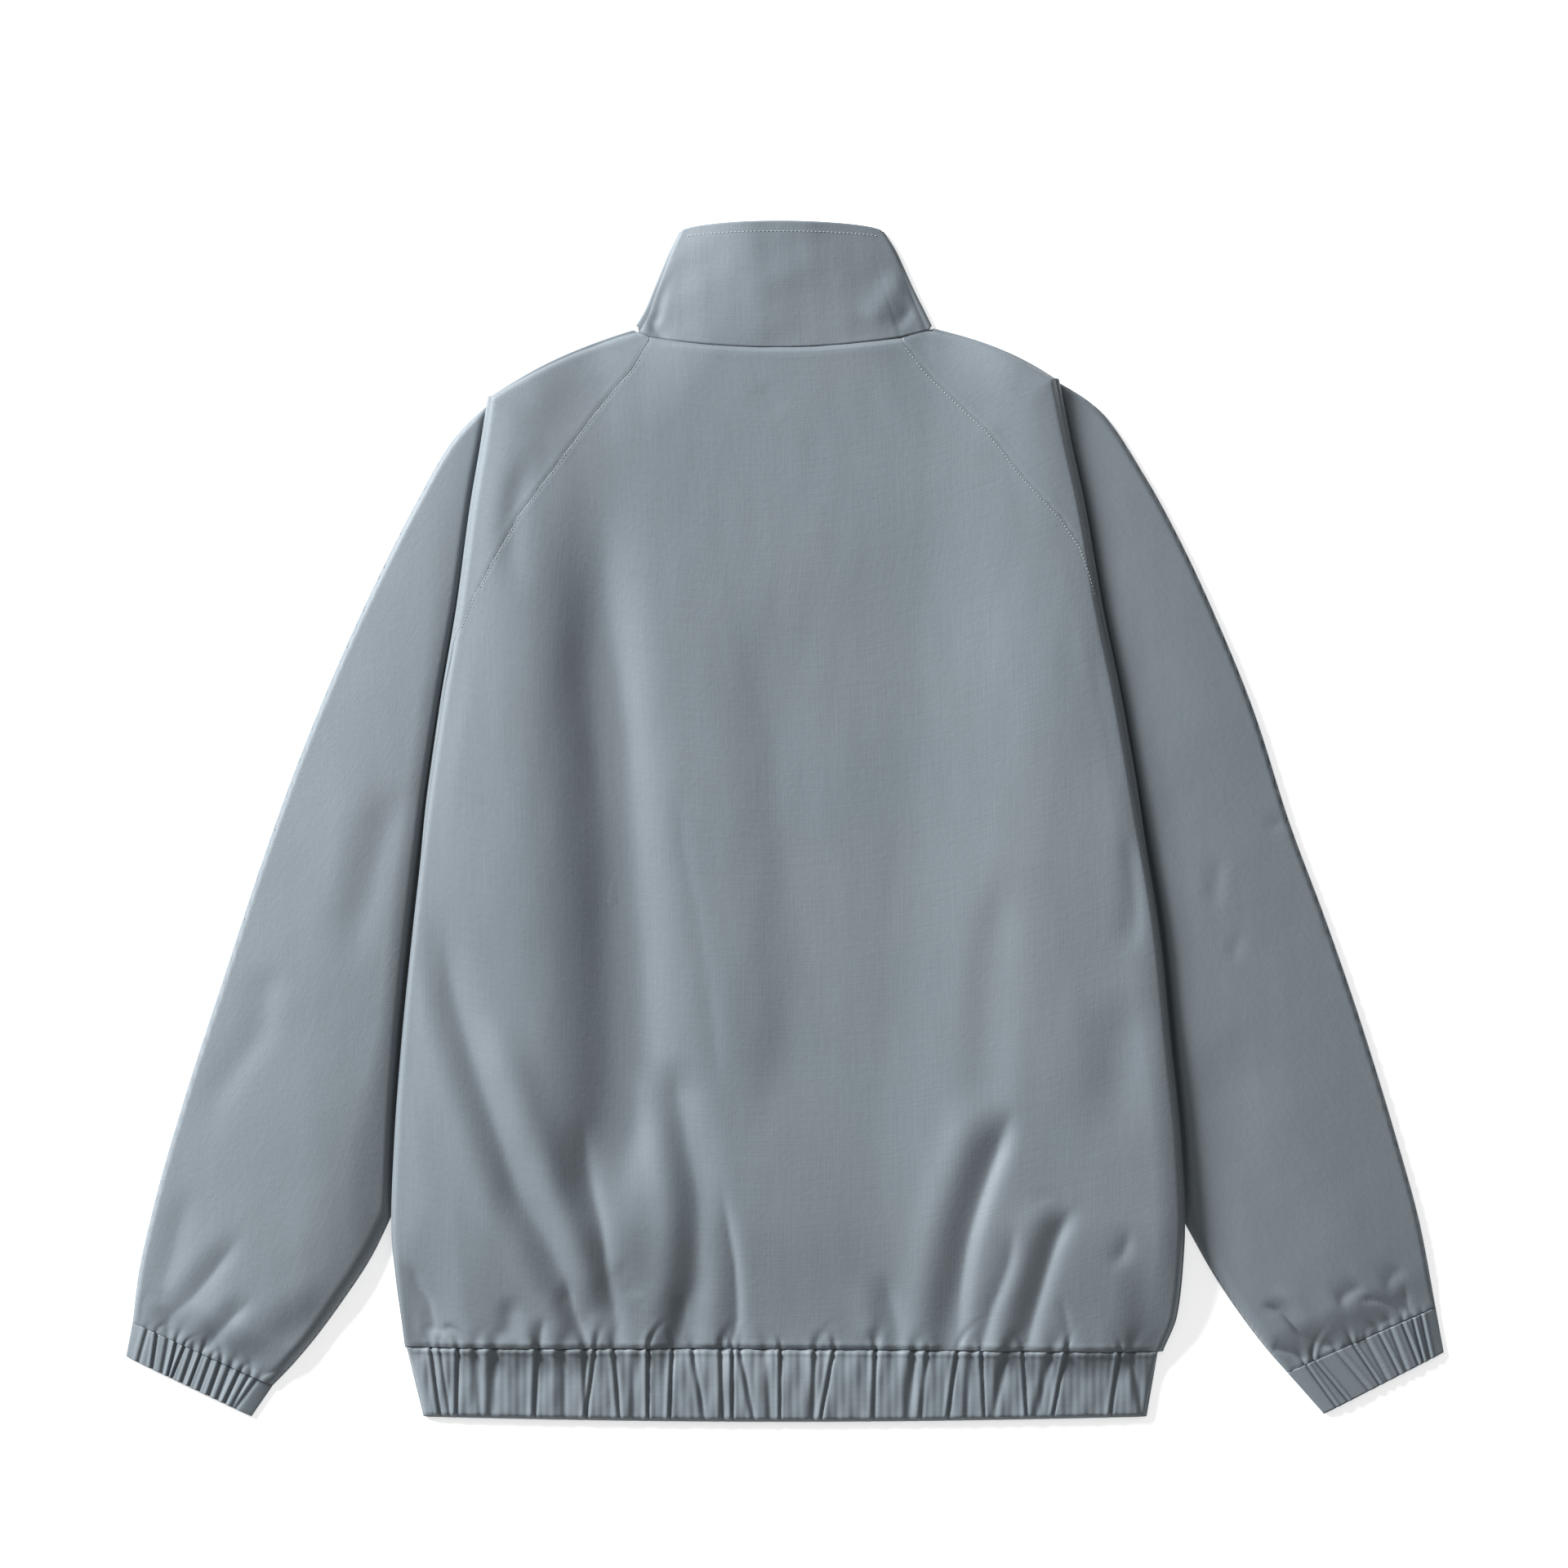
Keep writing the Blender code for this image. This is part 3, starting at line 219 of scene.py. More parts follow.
@dataclass(frozen=True)
class Fold:
    """One crease of the laid cloth: a trough along a bent line, and often a ridge on its lit side.

    Attributes:
        path: Points along the bottom of the trough, in mm.
        width: Width of the flank that faces away from the light, in mm.
        depth: Depth in mm; a negative one makes a ridge.
        lee: Width of the flank that faces the light, as a share of the first.
        crisp: Two for a soft bottom, near one for a sharp one.
        ridge: Height of the ridge on the lit side, as a share of the depth.
        flare: How many times wider the fold is at its end than at its start.
        fade_in, fade_out: Lengths over which it grows and dies away, in mm; zero runs on into a seam.
    """

    path: tuple[tuple[float, float], ...]
    width: float
    depth: float
    lee: float = 0.8
    crisp: float = 2.0
    ridge: float = 0.0
    flare: float = 1.0
    fade_in: float = 40.0
    fade_out: float = 40.0

    def rise_at(self, x: Array, y: Array) -> Array:
        """Height that the fold adds.

        Args:
            x, y: Places in mm.

        Returns:
            fade * depth * (ridge * bell(aside / w + 1.9) - exp(-|aside / w|^crisp)), in mm, where aside is
            the distance from the path away from the light and w the width of that flank.
        """
        knots = np.array(self.path, float)
        forward = unit(knots[-1] - knots[0])
        away = np.array([-forward[1], forward[0]])
        away = away if away @ AWAY_FROM_LIGHT > 0 else -away
        from_start = (knots - knots[0]) @ np.stack([forward, away], -1)
        length = from_start[-1, 0]
        x, y = x - knots[0, 0], y - knots[0, 1]
        along = x * forward[0] + y * forward[1]
        aside = x * away[0] + y * away[1] - smooth_through(from_start[:, 0], from_start[:, 1], along)
        width = self.width * (1.0 + (self.flare - 1.0) * np.clip(along / length, 0.0, 1.0))
        fade = ramp(along / self.fade_in) if self.fade_in else 1.0
        fade = fade * (ramp((length - along) / self.fade_out) if self.fade_out else 1.0)
        crest = bump(aside / width + 1.9)
        trough = np.exp(-(np.abs(aside / (width * np.where(aside < 0, 1.0, self.lee))) ** self.crisp))
        return fade * self.depth * (self.ridge * crest - trough)


def folds_at(folds: tuple[Fold, ...], x: Array, y: Array) -> Array:
    """Sum of several folds' heights at the places x, y, in mm."""
    total = np.zeros(np.broadcast(x, y).shape)
    for fold in folds:
        total += fold.rise_at(x, y)
    return total


# ---------------------------------------------------------------- the laid jacket
@dataclass(frozen=True)
class Lay:
    """How the jacket lies: its outline in plan and the levels of its layers, in mm.

    The outline is in short tables. Distances named out are measured from the centre line.
    """

    solid_cloth: float = 1.2
    seam_gap: float = 0.12
    layer_pitch: float = 1.8
    side_seam_turn: float = math.radians(22)
    side_seam_start: float = 62.0
    underarm_y: float = 25.0
    meeting_share: float = 0.63
    neck_sag: float = 7.0
    front_neck_low: float = 271.0
    front_neck_gap: float = 1.4
    zip_half_gap: float = 3.4
    shoulder_bow: float = 4.0
    shoulder_slope: float = 0.9
    body_pillow: tuple = (1.7, 3.5, 6.6, 70.0)
    right_lean: tuple = (11.0, 125.0, 145.0)
    hem_fall: float = 0.55
    hem_fall_height: float = 90.0
    hem_drop: float = 1.0
    hem_drop_width: float = 4.0
    seam_dip: float = 0.7
    raglan_dip: float = 0.22
    seam_dip_width: float = 1.5
    hem_seam_left: float = -353.6
    hem_seam_right: float = -356.4
    leaving_section: int = 6
    neck_corners: tuple = ((89.7, 325.6), (78.5, 325.6))
    collar_corners: tuple = ((100.5, 330.4), (100.0, 331.4))
    shoulder_ends: tuple = ((196.0, 286.8), (183.0, 298.4))
    meeting_heights: tuple = (121.6, 146.0)
    # y, left, right: distance out of the body's side edge
    body_edge: tuple = (
        (-356.0, 255.2, 255.5),
        (-332.0, 258.2, 264.7),
        (-305.0, 261.6, 268.1),
        (-272.0, 264.4, 269.9),
        (-217.0, 262.4, 267.3),
        (-151.0, 257.7, 260.6),
        (-74.0, 250.0, 252.7),
        (3.0, 240.9, 239.8),
        (80.0, 229.8, 226.4),
        (146.0, 218.6, 212.8),
        (212.0, 209.7, 201.3),
        (256.0, 202.3, 191.7),
        (300.0, 195.5, 183.0),
    )
    # share, left out, left y, right out, right y: the raglan seam
    raglan_seam: tuple = (
        (0.00, 100.5, 330.4, 100.0, 331.4),
        (0.08, 89.7, 325.6, 78.5, 325.6),
        (0.16, 102.3, 304.2, 96.0, 302.5),
        (0.26, 118.8, 285.5, 116.4, 282.4),
        (0.38, 134.8, 264.6, 138.2, 261.6),
        (0.52, 156.5, 235.0, 161.0, 231.5),
        (0.68, 178.0, 206.0, 186.5, 204.1),
        (0.83, 197.5, 171.6, 200.0, 184.0),
        (0.92, 210.1, 148.0, 206.6, 165.5),
        (1.00, 221.0, 121.6, 211.2, 146.0),
    )
    # outer out, outer y, inner out, inner y: sections of each sleeve from the hidden crease to the cuff seam
    left_sections: tuple = (
        (188.5, 291.0, 150.7, -51.7),
        (222.0, 258.5, 166.0, -80.0),
        (249.2, 212.3, 183.0, -112.0),
        (271.7, 168.3, 200.0, -144.0),
        (302.0, 102.3, 219.0, -180.0),
        (328.9, 36.3, 240.0, -219.0),
        (352.6, -29.7, 258.0, -253.0),
        (378.0, -106.7, 277.8, -293.7),
        (403.2, -183.7, 297.0, -323.0),
        (422.4, -249.7, 317.0, -350.0),
        (435.0, -305.0, 333.0, -368.5),
        (438.9, -336.6, 343.8, -379.5),
    )
    right_sections: tuple = (
        (174.0, 302.5, 145.2, -40.7),
        (212.0, 277.5, 158.0, -64.5),
        (242.0, 234.3, 175.0, -96.0),
        (266.2, 190.3, 193.0, -129.0),
        (291.0, 137.0, 211.0, -162.5),
        (316.5, 74.0, 231.0, -199.5),
        (340.5, -1.0, 251.0, -236.5),
        (364.0, -64.0, 271.0, -273.0),
        (387.5, -132.0, 289.0, -305.0),
        (410.3, -205.7, 309.0, -335.0),
        (428.5, -271.7, 326.0, -357.0),
        (438.9, -326.7, 338.2, -370.7),
    )
    back_folds: tuple = (
        Fold(((-128, 240), (-122, 141), (-113, 31), (-106, -79), (-104, -162), (-112, -228), (-124, -285)),
            24, 9.5, lee=0.75, flare=1.5, ridge=0.1, fade_in=150, fade_out=85),
        Fold(((72, 230), (68, 60), (64, -120), (60, -260)), 55, 2.0, lee=1.2, fade_in=90, fade_out=90),
        Fold(((-12, 168), (-8, 86), (1, 3), (7, -79), (4, -162), (-3, -217)), 22, 2.4, lee=1.6,
            ridge=0.2, fade_in=120, fade_out=70),
        Fold(((-73, 25), (-65, -30), (-57, -68), (-48, -134), (-42, -189)), 9, 0.5, lee=0.6,
            crisp=1.4, fade_in=40, fade_out=40),
        Fold(((-234, -46), (-219, -126), (-200, -186), (-180, -244), (-158, -283), (-143, -316),
            (-131, -340), (-127, -354)), 11, 4.2, lee=1.0, crisp=1.6, ridge=0.3, fade_in=90,
            fade_out=25),
        Fold(((-147, -305), (-143, -321), (-138, -337), (-131, -353)), 7, 3.2, lee=0.3, crisp=1.1,
            ridge=0.2, fade_in=18, fade_out=0),
        Fold(((-198, -123), (-176, -189), (-156, -244), (-134, -294), (-122, -332)), 13, -2.6,
            lee=1.0, ridge=0.0, fade_in=50, fade_out=30),
        Fold(((-136, -195), (-131, -239), (-122, -277), (-118, -310), (-114, -332), (-113, -354)),
            12, 4.0, lee=0.5, crisp=1.4, ridge=0.2, fade_in=50, fade_out=0),
        Fold(((-112, -294), (-108, -307), (-96, -321)), 8, 1.0, lee=0.8, fade_in=10, fade_out=12),
        Fold(((-76, -156), (-65, -217), (-57, -261), (-59, -305), (-65, -327), (-70, -354)), 11,
            3.8, lee=1.2, crisp=1.7, ridge=0.35, fade_in=30, fade_out=0),
        Fold(((-67, -316), (-67, -332), (-73, -354)), 5, 2.2, lee=0.4, crisp=1.1, ridge=0.2,
            fade_in=14, fade_out=0),
        Fold(((-44, -239), (-37, -272), (-32, -305), (-31, -332), (-36, -354)), 9, 3.2, lee=0.35,
            crisp=1.2, ridge=0.25, fade_in=45, fade_out=0),
        Fold(((65, -299), (73, -327), (79, -354)), 9, 2.2, lee=0.8, crisp=1.6, ridge=0.4,
            fade_in=25, fade_out=0),
        Fold(((58, -338), (62, -357)), 5, 2.0, lee=0.5, crisp=1.2, fade_in=12, fade_out=0),
        Fold(((154, -189), (144, -219), (132, -253), (125, -277), (119, -311), (114, -355)), 13,
            5.2, lee=0.45, crisp=1.6, ridge=0.35, fade_in=35, fade_out=0),
        Fold(((152, -24), (142, -83), (136, -152), (136, -200)), 14, 1.6, lee=1.2, fade_in=50,
            fade_out=30),
        Fold(((197, -254), (182, -283), (172, -316), (166, -338), (162, -355)), 10, 3.8, lee=0.5,
            crisp=1.5, ridge=0.35, fade_in=25, fade_out=0),
        Fold(((155, -266), (151, -297), (139, -330), (132, -355)), 7, 2.4, lee=0.6, crisp=1.5,
            fade_in=30, fade_out=0),
        Fold(((185, -316), (190, -336), (191, -354)), 4, 0.9, lee=0.6, crisp=1.3, fade_in=15,
            fade_out=0),
        Fold(((234, -2), (235, -52), (232, -93)), 9, 1.5, lee=0.8, fade_in=25, fade_out=25),
        Fold(((231, -107), (226, -162), (220, -228)), 20, 2.2, lee=0.9, ridge=0.2, fade_in=40,
            fade_out=60),
        Fold(((233, -271), (227, -290), (215, -300)), 7, 1.7, lee=0.7, crisp=1.5, fade_in=14,
            fade_out=14),
        Fold(((164, -255), (177, -252), (193, -256)), 3, 0.7, lee=0.7, crisp=1.3, fade_in=8,
            fade_out=8),
        Fold(((-265, -299), (-248, -306), (-239, -321), (-236, -334), (-233, -345)), 6, 1.7,
            lee=0.4, crisp=1.2, ridge=0.2, fade_in=0, fade_out=8),
        Fold(((-229, -337), (-219, -342), (-206, -355)), 4, 1.5, lee=0.5, crisp=1.2, ridge=0.4,
            fade_in=6, fade_out=0),
        Fold(((-240, -354), (-238, -344), (-231, -337)), 5, 0.8, lee=0.8, fade_in=0, fade_out=6),
        Fold(((-182, -316), (-184, -332), (-188, -351)), 7, 1.7, lee=0.9, fade_in=15, fade_out=10),
        Fold(((-161, -330), (-164, -355)), 5, 2.0, lee=0.4, crisp=1.2, ridge=0.4, fade_in=14,
            fade_out=0),
        Fold(((-170, 254), (-183, 196), (-180, 144)), 9, 1.6, lee=1.0, fade_in=35, fade_out=40),
        Fold(((-16, 296), (0, 272)), 9, 0.35, lee=0.9, fade_in=10, fade_out=12),
        Fold(((204, 135), (216, 58), (221, -2)), 16, 0.9, lee=1.2, fade_in=50, fade_out=50),
    )

    # x at the seam, x at the low edge, half width in mm, depth in mm
    hem_gathers: tuple = (
        (-237.5, -231.0, 1.1, 1.7), (-231.5, -224.5, 1.2, 1.0), (-219.0, -220.0, 1.3, 1.6),
        (-207.0, -204.0, 2.2, 0.8), (-194.5, -197.0, 2.8, 1.3), (-165.5, -167.5, 1.4, 1.7),
        (-149.0, -147.0, 3.4, 1.1), (-134.0, -133.5, 1.4, 1.2), (-127.0, -133.0, 1.2, 1.8),
        (-114.5, -110.0, 1.3, 1.6), (-98.0, -102.0, 3.0, 0.9), (-91.3, -91.3, 0.9, 2.0),
        (-74.8, -77.0, 1.0, 2.0), (-61.5, -53.0, 1.6, 1.2), (-42.4, -41.5, 1.4, 1.6),
        (-34.6, -34.5, 1.0, 2.0), (-29.5, -20.0, 1.6, 1.2), (-12.5, -9.5, 2.2, 0.7),
        (-2.4, -2.6, 0.9, 2.0), (21.0, 19.0, 1.8, 1.1), (33.6, 24.5, 1.1, 1.8),
        (62.0, 60.0, 1.4, 1.5), (87.5, 83.5, 2.6, 1.5), (96.5, 92.0, 1.6, 1.0),
        (116.5, 110.0, 1.1, 2.0), (126.0, 122.5, 2.4, 0.9), (133.0, 135.0, 1.0, 1.6),
        (149.5, 140.5, 2.6, 1.2), (160.5, 163.5, 1.0, 1.6), (180.0, 169.0, 2.8, 1.2),
        (189.5, 180.5, 1.0, 1.7), (225.5, 219.5, 1.1, 1.7), (233.5, 241.0, 2.2, 0.9),
    )

    # share across at the seam, share at the low end, half width in mm, depth in mm
    cuff_gathers_left: tuple = (
        (0.10, 0.09, 1.6, 0.9), (0.17, 0.20, 1.2, 1.3), (0.25, 0.28, 1.5, 0.8), (0.31, 0.33, 1.0, 1.6),
        (0.37, 0.36, 0.9, 1.5), (0.43, 0.44, 1.2, 1.2), (0.49, 0.50, 0.9, 1.5), (0.56, 0.58, 1.2, 1.2),
        (0.63, 0.66, 1.3, 1.5), (0.70, 0.73, 1.5, 1.0), (0.77, 0.79, 1.2, 1.4), (0.84, 0.85, 1.4, 1.0),
        (0.90, 0.88, 1.6, 0.8),
    )
    cuff_gathers_right: tuple = (
        (0.09, 0.10, 1.2, 1.2), (0.15, 0.16, 1.0, 1.5), (0.22, 0.20, 1.2, 1.4), (0.30, 0.30, 1.5, 0.9),
        (0.38, 0.36, 1.2, 1.2), (0.47, 0.46, 1.6, 0.9), (0.56, 0.53, 1.0, 1.5), (0.67, 0.62, 1.5, 1.2),
        (0.82, 0.80, 1.0, 1.6), (0.88, 0.90, 1.0, 1.4),
    )

    @property
    def edge_radius(self) -> float:
        """Half the distance between two layers, in mm."""
        return self.layer_pitch / 2

    @property
    def crease_radius(self) -> float:
        """Radius at which the sleeve's middle surface turns, in mm."""
        return self.layer_pitch

    @property
    def edge_inset(self) -> float:
        """Distance of a middle surface's edge in from the outline, in mm."""
        return self.edge_radius + self.solid_cloth / 2

    @property
    def front_rest(self) -> float:
        """Level of the lowest layer, in mm."""
        return self.solid_cloth / 2

    @property
    def middle_rest(self) -> float:
        """Level midway between the two lowest layers, in mm."""
        return self.front_rest + self.edge_radius

    @property
    def stack_rise(self) -> float:
        """How much higher the body lies over the doubled sleeve, in mm."""
        return 4 * self.layer_pitch

    def pick(self, side: Side, pair: tuple) -> tuple | float:
        """The left or right entry of a pair."""
        return pair[0] if side is Side.LEFT else pair[1]

    def side_edge(self, side: Side, y: Array) -> Array:
        """Distance out of the body's side edge at height y, in mm."""
        table = np.array(self.body_edge)
        return smooth_through(table[:, 0], table[:, 1 if side is Side.LEFT else 2], y)

    def raglan(self, side: Side, share: Array) -> tuple[Array, Array]:
        """Distance out and height of the raglan seam; share runs from the collar to the side edge."""
        table = np.array(self.raglan_seam)
        first = 1 if side is Side.LEFT else 3
        return np.interp(share, table[:, 0], table[:, first]), np.interp(share, table[:, 0], table[:, first + 1])

    def sections(self, side: Side) -> Array:
        """Table of the sleeve's sections."""
        return np.array(self.left_sections if side is Side.LEFT else self.right_sections)

    def cuff_gathers(self, side: Side) -> Array:
        """Table of one cuff's gathers."""
        return np.array(self.cuff_gathers_left if side is Side.LEFT else self.cuff_gathers_right)

    def section_curves(self, side: Side, places: Array) -> tuple[Array, Array]:
        """Outer and underarm edge of the sleeve at places from 0, the hidden crease, to 1, the cuff."""
        table = self.sections(side)
        knots = np.linspace(0.0, 1.0, len(table))
        values = [smooth_through(knots, table[:, name], places) for name in range(4)]
        return np.stack(values[:2], -1), np.stack(values[2:], -1)

    def from_crease(self, side: Side, out: Array, y: Array) -> Array:
        """How far a place lies inwards of the hidden crease's line, in mm."""
        top, corner = self.sections(side)[0, :2], self.sections(side)[0, 2:]
        return past_line(top, corner, out, y)

    def from_sleeve(self, side: Side, out: Array, y: Array) -> Array:
        """How far a place lies inwards of the sleeve that is hidden beneath the body's side, in mm."""
        corner, leaves = self.sections(side)[0, 2:], self.sections(side)[self.leaving_section, 2:]
        return np.maximum(self.from_crease(side, out, y), past_line(corner, leaves, out, y))

    def over_sleeves(self, x: Array, y: Array, inwards: Callable, margin: float, width: float) -> Array:
        """Middle level of the body, raised over the hidden sleeves.

        Args:
            x, y: Places in mm.
            inwards: Distance inwards of one side's hidden sleeve.
            margin: How far inwards the level stays raised, in mm.
            width: Over what distance it then falls to the ground's, in mm.

        Returns:
            The level, in mm.
        """
        nearer = np.minimum(inwards(Side.LEFT, -x, y), inwards(Side.RIGHT, x, y))
        return self.middle_rest + self.stack_rise * (1.0 - ramp((nearer - margin) / width))

    def shoulder_line(self, side: Side, share: Array) -> Array:
        """Shoulder fold from the collar's corner to the crease: a straight line, bowed upwards."""
        start, end = np.array(self.pick(side, self.collar_corners)), np.array(self.pick(side, self.shoulder_ends))
        share = np.asarray(share)[..., None]
        normal = unit(np.array([start[1] - end[1], end[0] - start[0]]))
        return start + (end - start) * share + normal * self.shoulder_bow * 4 * share * (1 - share)

    def inset(self, x: Array, y: Array) -> Array:
        """Distance in from the rounding of the body's own outline, in mm."""
        best = np.full(np.broadcast(x, y).shape, FAR)
        for side in Side:
            out = side.sign * x
            line = self.shoulder_line(side, np.linspace(0.0, 1.0, 60))
            line_y = np.interp(out, line[:, 0], line[:, 1])
            under_collar = np.maximum(line[0, 0] - out, 0.0)
            shoulder = (line_y - y) * self.shoulder_slope + 1.5 * under_collar**2 / (under_collar + 30.0)
            best = np.minimum(best, np.minimum(self.side_edge(side, y) - out, shoulder))
        return np.maximum(best - self.edge_inset, 0.0)

    def body_rest(self, x: Array, y: Array) -> Array:
        """Level midway between back and fronts: on the ground, or over the hidden sleeves."""
        return self.over_sleeves(x, y, self.from_sleeve, 16.0, 55.0)

    def front_height(self, x: Array, y: Array) -> Array:
        """Level of the front layer, in mm."""
        return self.body_rest(x, y) - self.edge_radius

    def hem_seam_y(self, x: Array) -> Array:
        """Height of the hem seam across the jacket, in mm."""
        return np.interp(x, (-250.0, 250.0), (self.hem_seam_left, self.hem_seam_right))

    def back_height(self, x: Array, y: Array) -> Array:
        """Level of the back layer.

        Args:
            x, y: Places in mm.

        Returns:
            The rest level, a broad rise over the sleeves, the loft, the folds, the puckers and the unevenness.
        """
        inset = self.inset(x, y)
        rest = self.body_rest(x, y)
        broad = self.over_sleeves(x, y, self.from_crease, -30.0, 105.0)
        base = rest + (broad - rest) * ramp(inset / 45.0)
        above_hem = y - self.hem_seam_y(x)
        lean, lean_start, lean_width = self.right_lean
        roll, roll_width, dome, dome_width = self.body_pillow
        risen = ramp((x - lean_start) / lean_width)
        loft = pillow(inset, roll, roll_width, 0.0, dome_width)
        rounded = 0.35 * swell(inset, 20.0) + 0.65 * swell(inset, 4.0)
        loft = loft + dome * (1.0 - risen) * swell(inset, dome_width) + lean * risen * rounded
        loft = loft * (1.0 - self.hem_fall * (1.0 - ramp(above_hem / self.hem_fall_height)))
        drop = self.hem_drop * (1 - ramp(above_hem / self.hem_drop_width)) * ramp(inset / 20.0)
        folds = folds_at(self.back_folds, x, y) * ramp(inset / 14.0)
        uneven = 0.45 * ripples(x, 0.45 * y, 7, 9, 60.0, 140.0) + 0.05 * ripples(x, 0.4 * y, 11, 14, 18.0, 40.0)
        puckers = self.hem_puckers(x, above_hem)
        level = loft - drop + folds
        level = level + (uneven + puckers - self.seam_dips(x, y)) * ramp(inset / 18.0)
        soft = 2.0 * ramp(inset / 20.0)
        return base + self.edge_radius + (level + np.sqrt(level**2 + soft**2)) / 2

    def seam_dips(self, x: Array, y: Array) -> Array:
        """How far the cloth dips into the raglan, neck and hem seams.

        Args:
            x, y: Places in mm.

        Returns:
            A narrow bell about each seam, less a low swelling of its allowance beside it, in mm.
        """
        level = np.minimum(np.abs(y - self.hem_seam_y(x)), np.abs(y - self.neck_y(x)))
        slanted = np.full(level.shape, FAR)
        for side in Side:
            line = np.stack(self.raglan(side, np.linspace(0.08, 1.0, 60)), -1)
            slanted = np.minimum(slanted, nearest(np.stack([side.sign * x + 0 * y, y + 0 * x], -1), line))
        total = np.zeros(level.shape)
        for away, depth in ((level, self.seam_dip), (slanted, self.raglan_dip)):
            total += depth * (bump(away / self.seam_dip_width) - 0.3 * bump((away - 3.2) / 1.8))
        return total

    def hem_puckers(self, x: Array, above: Array) -> Array:
        """Small gathers of the back where the elastic draws it in.

        Args:
            x: Places across, in mm.
            above: Heights above the hem seam, in mm.

        Returns:
            The band's own gathers carried on over the seam as short commas, and finer uneven waves, in mm.
        """
        above = np.maximum(above, 0.0)
        wave = ripples(x, 0.3 * above, 23, 7, 6.0, 16.0)
        total = 0.5 * wave * np.exp(-above / 7.0)
        for count, (top, low, half, depth) in enumerate(self.hem_gathers):
            reach = 5.0 + 9.0 * ((count * 0.618) % 1.0)
            centre = top + (top - low) * above / 60.0 + 0.03 * above**2 * math.sin(count * 2.4)
            aside = (x - centre) / (half * (1.0 + above / 10.0))
            total -= 1.1 * depth * (bump(aside) - 0.5 * bump((aside + 2.0) / 1.4)) * bump(above / reach)
        return total

    def cap_start(self, side: Side, share: Array) -> tuple[Array, Array, Array]:
        """Where the sleeve's cap begins at the raglan seam.

        Args:
            side: Which sleeve.
            share: Places along the seam, 0 at the collar, meeting_share at the side edge and 1 at the underarm.

        Returns:
            Distance past the side crease at that height, height, and distance out, in mm.
        """
        out, y = self.raglan(side, np.clip(share / self.meeting_share, 0.0, 1.0))
        crease_out, crease_y = self.crease_point(side, share)
        before = share < self.meeting_share
        edge = self.side_edge(side, y) - self.edge_inset
        beyond = np.clip((share - self.meeting_share) / (1.0 - self.meeting_share), 0.0, 1.0)
        past = np.where(before, np.minimum(out - edge, 0.0), beyond * self.crease_radius * math.pi / 2)
        return past, np.where(before, y, crease_y), np.where(before, out, crease_out)

    def crease_point(self, side: Side, share: Array) -> tuple[Array, Array]:
        """Distance out and height of the side crease from the shoulder, share 0, to the underarm, share 1."""
        top = self.pick(side, self.shoulder_ends)[1] - self.edge_inset
        knots = (0.0, self.meeting_share, 1.0)
        y = np.interp(share, knots, (top, self.pick(side, self.meeting_heights), self.underarm_y))
        return self.side_edge(side, y) - self.edge_inset, y

    def neck_y(self, x: Array) -> Array:
        """Height of the back neck seam: a shallow parabola between the neck corners, then up to the collar's."""
        (left_out, corner_y), (right_out, _) = self.neck_corners
        middle, half = (right_out - left_out) / 2, (right_out + left_out) / 2
        y = corner_y - self.neck_sag * (1 - np.clip(np.abs(x - middle) / half, 0, 1) ** 2)
        for side in Side:
            out, (end_out, end_y) = self.pick(side, (left_out, right_out)), self.pick(side, self.collar_corners)
            y = y + (end_y - corner_y) / (end_out - out) * np.maximum(side.sign * x - out, 0.0)
        return y

    def front_neck_y(self, side: Side, out: Array) -> Array:
        """Height of the front neck seam: a parabola from the zip to the neck corner, then up to the collar's."""
        corner_out, corner_y = self.pick(side, self.neck_corners)
        end_out, end_y = self.pick(side, self.collar_corners)
        curve = self.front_neck_low + (corner_y - self.front_neck_low) * np.clip(out / corner_out, 0, 1) ** 2
        return curve + (end_y - corner_y) / (end_out - corner_out) * np.maximum(out - corner_out, 0.0)

    def side_end(self, side: Side, y: Array, place: Array, layer: float) -> Array:
        """End columns of body rows, where a panel rounds the side edge.

        Args:
            side: Which side.
            y: (rows,) heights in mm.
            place: (rows, columns) distances past the side crease, in mm; negative ones lie flat.
            layer: One for the back, minus one for a front.

        Returns:
            (rows, columns, 3) middle points as distance out, y, z.
        """
        y = np.broadcast_to(y[:, None], place.shape)
        edge = self.side_edge(side, y) - self.edge_inset
        own = ramp((self.underarm_y - y) / self.side_seam_start)
        angle = np.clip(place / self.crease_radius, 0.0, math.pi / 2)
        wide = self.crease_radius + layer * self.edge_radius
        out_turned = wide * np.sin(angle) * (1 - own) + self.edge_radius * np.sin(angle) * own
        with_sleeve = wide * np.cos(angle) - self.crease_radius
        up_turned = with_sleeve * (1 - own) + layer * self.edge_radius * np.cos(angle) * own
        out = edge + np.where(place <= 0, place, out_turned)
        x = side.sign * out
        flat = self.back_height(x, y) if layer > 0 else self.front_height(x, y)
        z = np.where(place <= 0, flat, self.body_rest(side.sign * edge, y) + up_turned)
        return np.stack([out, y, z], -1)


LAY = Lay()


def placed(side: Side, points: Array) -> Array:
    """Points given as distance out, put on their own side of the centre line."""
    return points * np.array([side.sign, 1.0, 1.0])


